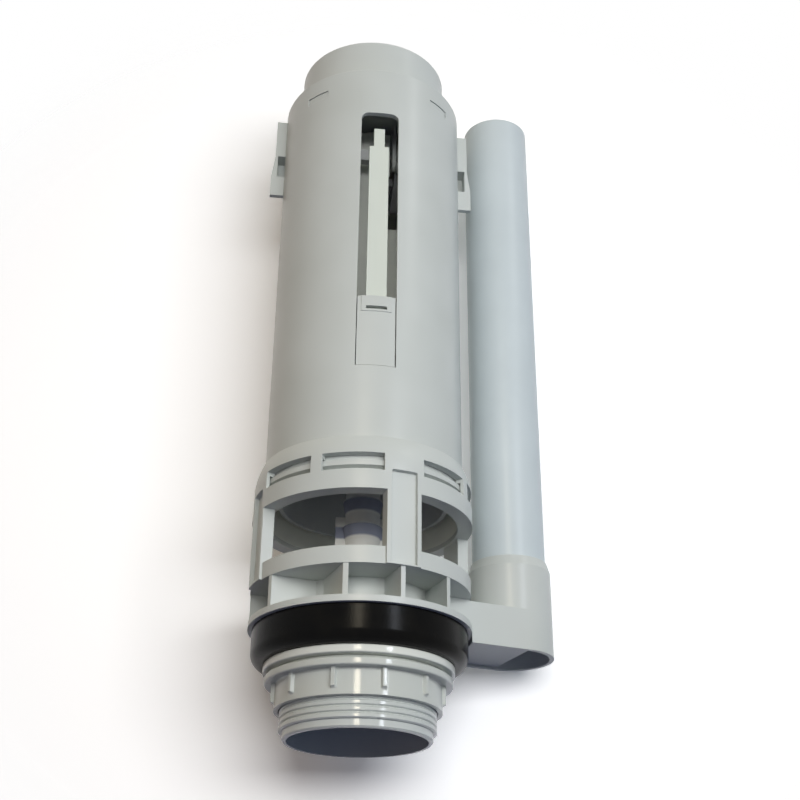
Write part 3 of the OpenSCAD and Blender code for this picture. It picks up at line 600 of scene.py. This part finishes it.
# The base's ABS with a polished tail: satin above, and tight highlights along the thread.
BASE = PolishedTail("abs_moulded_polished_tail", Slot.SHELL, *ABS_GREY, 0.33, grain_depth_mm=0.006)
# Glossier ABS of the nut: a polished mould gives it sharp narrow highlights.
NUT = MouldedPlastic("abs_moulded_gloss", Slot.NUT, "#C8CCC6", "#BFC4BF", 0.11, grain_depth_mm=0.004)
# Paler polyethylene of the slip washer: about as glossy as the nut.
WASHER = MouldedPlastic("polyethylene_moulded_gloss", Slot.NUT, "#E2E5DD", "#DADDD5", 0.12,
                        grain_depth_mm=0.004)
# Whiter acetal of the strip and the float's clip: evenly pale with little grain.
STRIP = MouldedPlastic("acetal_moulded_white", Slot.STRIP, "#D6DCD3", "#CED5CC", 0.42, grain_depth_mm=0.006)
# Grey polypropylene of the inner works: duller and a little darker than the shell.
INNER = MouldedPlastic("polypropylene_moulded", Slot.INNER, "#BFC3C4", "#B3B8BA", 0.46)
# Polypropylene of the stem, partly its own pale colour and partly painted light that lifts it in the cage's
# shade, with two painted shadow bands at its lower end where it shows through the cage.
STEM = ShadowBandedPlastic("polypropylene_painted_shadow_bands", Slot.INNER, "#F0F0EA", "#E8E8E2", 0.4)
# Bluish-white rigid pipe of the overflow.
PIPE = DrawnPipe("pvc_pipe_extruded", Slot.TUBE, "#CDD7DA", "#C6D0D3", 0.36)
# Black rubber of the gasket and seals.
RUBBER = MouldedRubber("epdm_moulded_black", Slot.RUBBER, "#070707", "#100F0C", 0.2)
# Stainless spring wire and pins.
STEEL = DrawnSteel("stainless_drawn", Slot.STEEL, "#C4C6C8", "#A4A7AA", 0.37)

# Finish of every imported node, also of those that a new piece is shown for.
FINISHES = {
    "valve_base": BASE, "duct_floor": BASE, "base_gasket": RUBBER,
    "back_nut": NUT, "slip_washer": WASHER,
    "overflow_tube": PIPE, "tube_seal": RUBBER,
    "tower_shell": TOWER, "top_cap": SHELL,
    "full_plunger": SHELL, "full_spring": STEEL, "full_lever": INNER, "full_lever_pin": STEEL,
    "half_plunger": SHELL, "half_spring": STEEL, "half_lever": INNER, "half_lever_pin": STEEL,
    "valve_stem": STEM, "lift_arm": INNER, "seal_washer": RUBBER, "seal_retainer": INNER,
    "main_float": INNER, "float_clip": STRIP,
    "half_strip": STRIP, "half_float": SHELL,
}


def dress(finishes: Mapping[str, Finish]) -> None:
    """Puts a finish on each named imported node.

    Args:
        finishes: Finish for each node's name.
    """
    for node, finish in finishes.items():
        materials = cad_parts[node].data.materials
        materials.clear()
        materials.append(finish.material())
        LOG.info("%s has finish %s", node, finish.label)


def full_turn(columns: int) -> np.ndarray:
    """Spreads angles evenly over a full turn.

    Args:
        columns: Number of angles.

    Returns:
        The angles in radians, from zero.
    """
    return np.linspace(0, 2 * math.pi, columns, endpoint=False)


def eased(share: np.ndarray) -> np.ndarray:
    """Steps smoothly from zero to one as s s (3 - 2 s), with s held between them.

    Args:
        share: Values of s.

    Returns:
        The smooth step at each value.
    """
    held = np.clip(share, 0, 1)
    return held ** 2 * (3 - 2 * held)


def rounded_outline(corners: Sequence[tuple[float, float]], radii: Sequence[float],
                    steps: int) -> np.ndarray:
    """Puts an arc in place of each corner of a closed outline.

    With a and b the unit vectors from a corner to its two neighbours and h half the angle between them, the
    arc's centre lies on their bisector at radius / sin(h), its ends lie on a and b at radius / tan(h), and
    its points turn evenly from one end to the other.

    Args:
        corners: Outline corners in order.
        radii: Arc radius at each corner.
        steps: Points on each arc.

    Returns:
        The outline's points, one row each.
    """
    corner = np.asarray(corners, float)
    radius = np.asarray(radii, float)[:, None]
    back = np.roll(corner, 1, axis=0) - corner
    ahead = np.roll(corner, -1, axis=0) - corner
    back /= np.linalg.norm(back, axis=1, keepdims=True)
    ahead /= np.linalg.norm(ahead, axis=1, keepdims=True)
    middle = back + ahead
    middle /= np.linalg.norm(middle, axis=1, keepdims=True)
    half = np.arccos(np.clip(np.sum(back * ahead, axis=1, keepdims=True), -1, 1)) / 2
    centre = corner + middle * radius / np.sin(half)
    first = corner + back * radius / np.tan(half) - centre
    last = corner + ahead * radius / np.tan(half) - centre
    turn = math.pi - 2 * half
    share = np.linspace(0, 1, steps)[None, :]
    from_first = (np.sin((1 - share) * turn) / np.sin(turn))[..., None]
    from_last = (np.sin(share * turn) / np.sin(turn))[..., None]
    return (centre[:, None] + from_first * first[:, None] + from_last * last[:, None]).reshape(-1, 2)


def evenly_spaced(outline: np.ndarray, spacing: float, least: int = 8) -> np.ndarray:
    """Places points along a closed outline at an even spacing, by straight steps between its own points.

    Args:
        outline: Points of the outline, one row each.
        spacing: Wanted distance between neighbours.
        least: Number of points that it has at least.

    Returns:
        The new points, one row each.
    """
    closed = np.vstack([outline, outline[:1]])
    run = np.concatenate([[0.0], np.cumsum(np.linalg.norm(np.diff(closed, axis=0), axis=1))])
    at = np.linspace(0, run[-1], max(math.ceil(run[-1] / spacing), least), endpoint=False)
    return np.stack([np.interp(at, run, closed[:, 0]), np.interp(at, run, closed[:, 1])], axis=1)


def grid_quads(rows: int, columns: int, rows_close: bool) -> np.ndarray:
    """Numbers the quads of a grid of points whose columns close into rings.

    Args:
        rows: Number of rings.
        columns: Points in each ring.
        rows_close: Whether the last ring joins the first.

    Returns:
        Four point numbers for each quad.
    """
    last = rows if rows_close else rows - 1
    row, column = np.meshgrid(np.arange(last), np.arange(columns), indexing="ij")
    row_up, column_on = (row + 1) % rows, (column + 1) % columns
    ring = [row * columns + column, row * columns + column_on, row_up * columns + column_on,
            row_up * columns + column]
    return np.stack(ring, axis=-1).reshape(-1, 4)


def mesh_piece(name: str, points: np.ndarray, rows_close: bool, finish: Finish) -> bpy.types.Object:
    """Makes a closed object from a grid of points, with its faces outwards and its finish on.

    The sum of a . (b x c) over the triangles is six times the signed volume, and a negative one turns the
    faces.

    Args:
        name: Name of the piece.
        points: Grid of points, rings by points by three.
        rows_close: Whether the last ring joins the first; otherwise the end rings are filled in.
        finish: Finish of the piece.

    Returns:
        The new object, at the origin.
    """
    rows, columns = points.shape[:2]
    quads = grid_quads(rows, columns, rows_close)
    flat = points.reshape(-1, 3)
    a, b, c, d = (flat[quads[:, k]] for k in range(4))
    volume = np.sum(a * np.cross(b, c)) + np.sum(a * np.cross(c, d))
    quads = quads if volume > 0 else quads[:, ::-1]
    faces = quads.tolist()
    if not rows_close:
        ends = [list(range(columns)), list(range((rows - 1) * columns, rows * columns))]
        faces += [ends[0][::-1], ends[1]] if volume > 0 else [ends[0], ends[1][::-1]]
    mesh = bpy.data.meshes.new(name)
    mesh.from_pydata(flat.tolist(), [], faces)
    mesh.shade_smooth()
    mesh.set_sharp_from_angle(angle=math.radians(SHARP_DEG))
    mesh.materials.append(finish.material())
    piece = bpy.data.objects.new(name, mesh)
    bpy.context.scene.collection.objects.link(piece)
    return piece


def turned(reach: np.ndarray, heights: np.ndarray, angles: np.ndarray, axis_x: float = 0.0) -> np.ndarray:
    """Turns an outline about an upright axis: x = axis + r cos t, y = r sin t, z = z.

    Args:
        reach: Radii r, one row for each point, with one column or one for each angle.
        heights: Heights z, one row for each point and one column.
        angles: Angles t of the columns, in radians.
        axis_x: Place of the axis on X.

    Returns:
        A grid of points, outline by angles by three.
    """
    x, y = axis_x + reach * np.cos(angles), reach * np.sin(angles)
    return np.stack([x, y, heights + 0 * angles], axis=-1)


def turned_ring(inner: float, outer: float, heights: tuple[float, float], radii: Sequence[float],
                columns: int = RING_COLUMNS, steps: int = 7, axis_x: float = 0.0) -> np.ndarray:
    """Works out a ring of rectangular section with an arc at each corner.

    Args:
        inner: Radius of its bore.
        outer: Radius of its outside.
        heights: Heights of its lower and upper face.
        radii: Arc radii, from the lower inside corner to the lower outside one and on around.
        columns: Points around the axis.
        steps: Points on each arc.
        axis_x: Place of the axis on X.

    Returns:
        A grid of points, outline by columns by three.
    """
    low, high = heights
    corners = [(inner, low), (outer, low), (outer, high), (inner, high)]
    outline = rounded_outline(corners, radii, steps)
    return turned(outline[:, :1], outline[:, 1:], full_turn(columns), axis_x)


def show_for(node: str, body: Body, piece: bpy.types.Object) -> None:
    """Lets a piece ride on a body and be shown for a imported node.

    Args:
        node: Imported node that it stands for.
        body: Body that carries both.
        piece: The new piece.
    """
    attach(piece, body.value)
    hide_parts(node)
    faces = len(piece.data.polygons)
    LOG.info("%s stands for %s on body %s, %d faces", piece.name, node, body.value, faces)


@dataclass
class OutletBase:
    """Gasket that seals the threaded base on the cistern floor."""

    gasket_round_mm: float = 4.5
    gasket_edge_mm: float = 0.5
    gasket_bore_mm: float = 29.2
    gasket_steps: int = 13

    def build(self) -> None:
        """Turns the gasket: a ring with a wide round on its lower outside edge and softened corners."""
        low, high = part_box("base_gasket")
        edge = self.gasket_edge_mm * MM
        points = turned_ring(self.gasket_bore_mm * MM, high.x, (low.z, high.z),
                             [edge, self.gasket_round_mm * MM, edge, edge], steps=self.gasket_steps)
        show_for("base_gasket", Body.BASE, mesh_piece("gasket_ring", points, True, RUBBER))


@dataclass
class ClampSet:
    """Back nut and slip washer that clamp the base to the cistern floor."""

    bore_mm: float = 30.0
    body_mm: float = 32.0
    land_mm: float = 33.5
    land_h_mm: float = 1.4
    brim_h_mm: float = 2.8
    lower_round_mm: float = 0.6
    brim_round_mm: float = 0.5
    edge_mm: float = 0.3
    round_steps: int = 9
    rib_count: int = 11
    rib_turn_deg: float = 3.8
    rib_w_mm: float = 1.9
    rib_h_mm: float = 7.6
    rib_out_mm: float = 1.4
    rib_soft_mm: float = 0.45
    rib_columns: int = 17
    gap_columns: int = 9
    spacing_mm: float = 0.33

    @property
    def rib_step(self) -> float:
        """Angle from one rib to the next, in radians."""
        return 2 * math.pi / self.rib_count

    def rib_angles(self) -> np.ndarray:
        """Places the nut's columns close together across each rib and wide apart between ribs.

        Returns:
            The columns' angles in radians.
        """
        near = self.rib_w_mm / self.body_mm
        across = np.linspace(-near, near, self.rib_columns)
        between = np.linspace(near, self.rib_step - near, self.gap_columns)[1:-1]
        one_rib = np.concatenate([across, between])
        ribs = math.radians(self.rib_turn_deg) + self.rib_step * np.arange(self.rib_count)
        return (one_rib[None, :] + ribs[:, None]).ravel()

    def nut_points(self) -> np.ndarray:
        """Works out the nut as a turned outline with raised ribs.

        The outline's radius is the larger of its own and the rib's, which is the body's radius plus the
        rib's height times two smooth steps: one across the rib, one at its lower end.

        Returns:
            The nut's grid of points.
        """
        low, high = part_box("back_nut")
        bore, body, land = self.bore_mm * MM, self.body_mm * MM, self.land_mm * MM
        brim_top = high.z - self.land_h_mm * MM
        brim_low = brim_top - self.brim_h_mm * MM
        edge, brim_round = self.edge_mm * MM, self.brim_round_mm * MM
        corners = [(bore, low.z), (body, low.z), (body, brim_low), (high.x, brim_low), (high.x, brim_top),
                   (land, brim_top), (land, high.z), (bore, high.z)]
        radii = [edge, self.lower_round_mm * MM, edge, brim_round, brim_round, edge, edge, edge]
        outline = evenly_spaced(rounded_outline(corners, radii, self.round_steps), self.spacing_mm * MM)
        angles = self.rib_angles()
        r, z = outline[:, :1], outline[:, 1:]
        half_step = self.rib_step / 2
        from_rib = angles - math.radians(self.rib_turn_deg)
        aside = np.abs((from_rib + half_step) % self.rib_step - half_step) * body
        soft = self.rib_soft_mm * MM
        across = eased((self.rib_w_mm * MM / 2 + soft / 2 - aside) / soft)
        above = eased((z - (brim_low - self.rib_h_mm * MM)) / (2 * soft))
        rib = body + self.rib_out_mm * MM * across * above
        outside = (r > body - edge) & (z < brim_low + edge)
        return turned(np.where(outside, np.maximum(r, rib), r), z, angles)

    def build(self) -> None:
        """Builds the ribbed nut and the turned washer."""
        show_for("back_nut", Body.NUT, mesh_piece("ribbed_nut", self.nut_points(), True, NUT))
        low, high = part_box("slip_washer")
        edge, rim = self.edge_mm * MM, self.brim_round_mm * MM
        points = turned_ring(self.bore_mm * MM, high.x, (low.z, high.z), [edge, rim, rim, edge])
        show_for("slip_washer", Body.WASHER, mesh_piece("washer_ring", points, True, WASHER))


@dataclass
class OverflowPipe:
    """Overflow pipe beside the tower."""

    wall_mm: float = 1.8
    rim_round_mm: float = 0.7
    end_share: float = 1 / 3
    columns: int = 128

    def build(self) -> None:
        """Turns the pipe about its own axis, with a rounded rim above and a plainer end in the socket."""
        low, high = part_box("overflow_tube")
        axis_x, outer = (low.x + high.x) / 2, (high.x - low.x) / 2
        rim = self.rim_round_mm * MM
        end = rim * self.end_share
        points = turned_ring(outer - self.wall_mm * MM, outer, (low.z, high.z), [end, end, rim, rim],
                             self.columns, axis_x=axis_x)
        show_for("overflow_tube", Body.BASE, mesh_piece("overflow_pipe", points, True, PIPE))


@dataclass
class PushGear:
    """Return springs of the two plungers."""

    wire_mm: float = 1.0
    turns: float = 6.0
    turn_points: int = 40
    wire_points: int = 12
    press_mm: float = 8.0

    def coil(self, node: str) -> np.ndarray:
        """Works out a spring with a closed turn at each end.

        The wire's middle runs at radius R and angle 2 pi n for turn n, and its height follows straight
        lines through (0, w / 2), (1, 3 w / 2), (N - 1, h - 3 w / 2) and (N, h - w / 2) for wire w, height h
        and N turns. A ring of the wire lies upright in the plane of the coil's outward direction.

        Args:
            node: Packed spring whose box gives the coil's place and height.

        Returns:
            The spring's grid of points.
        """
        low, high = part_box(node)
        wire, height = self.wire_mm * MM, high.z - low.z
        middle = (high.x - low.x) / 2 - wire / 2
        turn = np.linspace(0, self.turns, int(self.turns * self.turn_points) + 1)
        climb = np.interp(turn, [0, 1, self.turns - 1, self.turns],
                          [wire / 2, wire * 1.5, height - wire * 1.5, height - wire / 2])
        angle = (2 * math.pi * turn)[:, None]
        ring = full_turn(self.wire_points)[None, :]
        reach = middle + wire / 2 * np.cos(ring)
        x = (low.x + high.x) / 2 + reach * np.cos(angle)
        y = (low.y + high.y) / 2 + reach * np.sin(angle)
        z = low.z + climb[:, None] + wire / 2 * np.sin(ring) + 0 * angle
        return np.stack([x, y, z], axis=-1)

    def build(self) -> None:
        """Coils both springs and lets each ride on the tower."""
        for side in ("full", "half"):
            node = f"{side}_spring"
            piece = mesh_piece(f"{side}_return_coil", self.coil(node), False, STEEL)
            show_for(node, Body.TOWER, piece)
            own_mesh(piece)


@dataclass(frozen=True)
class PhotoView:
    """The picture's camera: its turn about the tower, its place in the view's axes and its aim."""

    focal_px: float = 1231.9
    image_px: float = 800.0
    turn_deg: float = -20.7
    distance_mm: float = 468.3
    height_mm: float = -122.3
    pitch_deg: float = 27.015
    yaw_deg: float = 1.791
    roll_deg: float = 0.58
    sensor_mm: float = 36.0
    clip_m: tuple[float, float] = (0.01, 20.0)

    def to_part(self, x: float, y: float, z: float) -> Vector:
        """Turns a point or direction of the view's axes into the part's frame.

        Args:
            x: Its part to the right.
            y: Its part away from the eye.
            z: Its part up the tower.

        Returns:
            The point or direction in the part's frame.
        """
        return Matrix.Rotation(math.radians(self.turn_deg), 3, "Z") @ Vector((x, y, z))

    def towards(self, azimuth_deg: float, elevation_deg: float) -> Vector:
        """Works out the direction from the part to a place around it.

        Args:
            azimuth_deg: How far right of the eye the place lies.
            elevation_deg: How far up it lies.

        Returns:
            The direction in the part's frame.
        """
        a, e = math.radians(azimuth_deg), math.radians(elevation_deg)
        return self.to_part(math.sin(a) * math.cos(e), -math.cos(a) * math.cos(e), math.sin(e))

    def camera(self) -> None:
        """Makes the camera, which looks up the tower from below, and makes it the scene's own."""
        pitch, yaw, roll = (math.radians(d) for d in (self.pitch_deg, self.yaw_deg, self.roll_deg))
        flat = math.cos(pitch)
        ahead = self.to_part(flat * math.sin(yaw), flat * math.cos(yaw), math.sin(pitch))
        level = self.to_part(math.cos(yaw), -math.sin(yaw), 0)
        upright = level.cross(ahead)
        right = math.cos(roll) * level + math.sin(roll) * upright
        up = math.cos(roll) * upright - math.sin(roll) * level
        lens = bpy.data.cameras.new("photo_camera")
        lens.sensor_width = self.sensor_mm
        lens.lens = self.sensor_mm * self.focal_px / self.image_px
        lens.clip_start, lens.clip_end = self.clip_m
        made = bpy.data.objects.new("photo_camera", lens)
        bpy.context.scene.collection.objects.link(made)
        place = self.to_part(0, -self.distance_mm * MM, self.height_mm * MM)
        axes = Matrix((right, up, -ahead)).transposed().to_4x4()
        made.matrix_world = Matrix.Translation(place) @ axes
        bpy.context.scene.camera = made


class Reach(Enum):
    """What a lamp lights: everything, the shine of a surface alone, or its colour alone."""

    ALL = "all"
    SHINE = "shine"
    MATT = "matt"


@dataclass(frozen=True)
class Lamp:
    """A rectangular lamp seen from the part at an azimuth and elevation, with an even brightness."""

    name: str
    azimuth_deg: float
    elevation_deg: float
    distance_m: float
    width_m: float
    height_m: float
    brightness: float
    colour: str = "#FFFFFF"
    reach: Reach = Reach.ALL

    def build(self, view: PhotoView, aim: Vector) -> None:
        """Makes the lamp; its power is brightness times pi times its area.

        Args:
            view: View whose axes the azimuth is counted from.
            aim: Point that the lamp faces.
        """
        light = bpy.data.lights.new(self.name, "AREA")
        light.shape = "RECTANGLE"
        light.size, light.size_y = self.width_m, self.height_m
        light.energy = self.brightness * math.pi * self.width_m * self.height_m
        light.color = linear(self.colour)[:3]
        lamp = bpy.data.objects.new(self.name, light)
        lamp.visible_diffuse = self.reach is not Reach.SHINE
        lamp.visible_glossy = self.reach is not Reach.MATT
        bpy.context.scene.collection.objects.link(lamp)
        direction = view.towards(self.azimuth_deg, self.elevation_deg)
        turn = direction.to_track_quat("Z", "Y").to_matrix().to_4x4()
        lamp.matrix_world = Matrix.Translation(aim + direction * self.distance_m) @ turn


# Wide soft light from the right of the eye, which gives the shadow at the left and no shine.
SOFTBOX = Lamp("softbox", azimuth_deg=15.5, elevation_deg=1, distance_m=0.95, width_m=0.95, height_m=0.3,
               brightness=8.0, reach=Reach.MATT)
# Warm and cool strips that draw the upright highlights on the rubber, nut and thread.
LEFT_STRIP = Lamp("left_strip", azimuth_deg=-3.1, elevation_deg=10.5, distance_m=0.95, width_m=0.12,
                  height_m=0.3, brightness=22.0, colour="#FFF3DA", reach=Reach.SHINE)
RIGHT_STRIP = Lamp("right_strip", azimuth_deg=34, elevation_deg=10.5, distance_m=0.95, width_m=0.1,
                   height_m=0.3, brightness=22.0, colour="#EEF4FF", reach=Reach.SHINE)
# Small strip high at the right for the shine of edges that face up.
TOP_STRIP = Lamp("top_strip", azimuth_deg=52, elevation_deg=40, distance_m=0.95, width_m=0.06, height_m=0.2,
                 brightness=16.0, reach=Reach.SHINE)
# Light for views from behind.
BACK_SOFTBOX = Lamp("back_softbox", azimuth_deg=180, elevation_deg=20, distance_m=1.1, width_m=0.6,
                    height_m=0.6, brightness=3.2)


@dataclass(frozen=True)
class Stage:
    """White table that the part lies on, the room's even light and the lamps."""

    table_mm: float = 44.7
    table_half_m: float = 1.2
    table_white: float = 1.36
    fade_from_m: float = 0.17
    fade_to_m: float = 0.27
    room_low: float = 0.12
    room_high: float = 0.42
    room_range: tuple[float, float] = (-0.7, 0.7)
    warm: str = "#FFDC9C"
    cool: str = "#DCF0FF"
    tint_range: tuple[float, float] = (-0.8, 0.8)
    under: str = "#A4B0F4"
    under_range: tuple[float, float] = (-0.7, 0.1)
    lamps: tuple[Lamp, ...] = (SOFTBOX, LEFT_STRIP, RIGHT_STRIP, TOP_STRIP, BACK_SOFTBOX)

    def world(self, view: PhotoView) -> None:
        """Makes the world, which is white where it is seen or mirrored.

        Elsewhere it gives a soft light: warm at the left, cool at the right, and dim and blue from below.

        Args:
            view: View whose axes left and right are counted on.
        """
        world = bpy.data.worlds.new("room")
        bpy.context.scene.world = world
        tree = empty_tree(world)
        way = add_node(tree, "ShaderNodeTexCoord").outputs["Generated"]
        across = add_node(tree, "ShaderNodeVectorMath", {"operation": "DOT_PRODUCT"}, {
            0: way, 1: view.to_part(1, 0, 0)})
        share = remap(tree, across.outputs["Value"], self.tint_range)
        tint = mixed(tree, share, linear(self.warm), linear(self.cool))
        up = upward(tree, way)
        hue = mixed(tree, remap(tree, up, self.under_range), linear(self.under), tint)
        strength = remap(tree, up, self.room_range, (self.room_low, self.room_high))
        light = add_node(tree, "ShaderNodeBackground", inputs={"Color": hue, "Strength": strength})
        white = add_node(tree, "ShaderNodeBackground", inputs={"Color": (1, 1, 1, 1), "Strength": 1.0})
        ray = add_node(tree, "ShaderNodeLightPath").outputs
        mirrored = calculated(tree, "MAXIMUM", ray["Is Glossy Ray"], ray["Is Transmission Ray"])
        mix = add_node(tree, "ShaderNodeMixShader", inputs={
            "Fac": calculated(tree, "MAXIMUM", ray["Is Camera Ray"], mirrored),
            1: light.outputs["Background"], 2: white.outputs["Background"]})
        add_node(tree, "ShaderNodeOutputWorld", inputs={"Surface": mix.outputs["Shader"]})

    def table_material(self, middle: Vector) -> bpy.types.Material:
        """Makes the table's white: it takes the shadow on its front and fades out around the part.

        Args:
            middle: Point of the table behind the part's middle, which the fade is counted from.

        Returns:
            The table's material.
        """
        made = bpy.data.materials.new("white_table")
        tree = empty_tree(made)
        white = add_node(tree, "ShaderNodeBsdfDiffuse", inputs={"Color": (*[self.table_white] * 3, 1)})
        clear = add_node(tree, "ShaderNodeBsdfTransparent")
        ray = add_node(tree, "ShaderNodeLightPath").outputs
        behind = add_node(tree, "ShaderNodeNewGeometry").outputs["Backfacing"]
        shown = calculated(tree, "MAXIMUM", ray["Is Camera Ray"], ray["Is Glossy Ray"])
        front = calculated(tree, "SUBTRACT", shown, behind, clamp=True)
        away = add_node(tree, "ShaderNodeVectorMath", {"operation": "DISTANCE"}, {
            0: own_place(tree), 1: middle})
        near = remap(tree, away.outputs["Value"], (self.fade_to_m, self.fade_from_m), steps="SMOOTHSTEP")
        mix = add_node(tree, "ShaderNodeMixShader", inputs={
            "Fac": calculated(tree, "MULTIPLY", front, near), 1: clear.outputs["BSDF"],
            2: white.outputs["BSDF"]})
        add_node(tree, "ShaderNodeOutputMaterial", inputs={"Surface": mix.outputs["Shader"]})
        return made

    def table(self, view: PhotoView) -> None:
        """Lays the table behind the part, square to the view's depth and touching the collar.

        Args:
            view: View whose axes the table is square to.
        """
        low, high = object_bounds()
        middle = (low.z + high.z) / 2
        half, back = self.table_half_m, self.table_mm * MM
        signs = ((-1, -1), (1, -1), (1, 1), (-1, 1))
        corners = [view.to_part(x * half, back, middle + z * half) for x, z in signs]
        mesh = bpy.data.meshes.new("table")
        mesh.from_pydata(corners, [], [(0, 1, 2, 3)])
        mesh.materials.append(self.table_material(view.to_part(0, back, middle)))
        table = bpy.data.objects.new("table", mesh)
        bpy.context.scene.collection.objects.link(table)
        table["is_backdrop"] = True

    def build(self, view: PhotoView) -> None:
        """Makes the world, the table and the lamps, and sets the plain view transform.

        Args:
            view: View whose axes the stage is set on.
        """
        low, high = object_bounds()
        self.world(view)
        self.table(view)
        for lamp in self.lamps:
            lamp.build(view, (low + high) / 2)
            LOG.info("lamp %s at %.0f, %.0f degrees", lamp.name, lamp.azimuth_deg, lamp.elevation_deg)
        bpy.context.scene.view_settings.view_transform = "Standard"


def main() -> None:
    """Dresses every node, builds the new pieces, and sets the stage and the camera."""
    logging.basicConfig(level=logging.INFO, format="%(name)s: %(message)s")
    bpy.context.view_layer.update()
    dress(FINISHES)
    for group in (OutletBase(), ClampSet(), OverflowPipe(), PushGear()):
        group.build()
    view = PhotoView()
    Stage().build(view)
    view.camera()


if __name__ == "__main__":
    main()
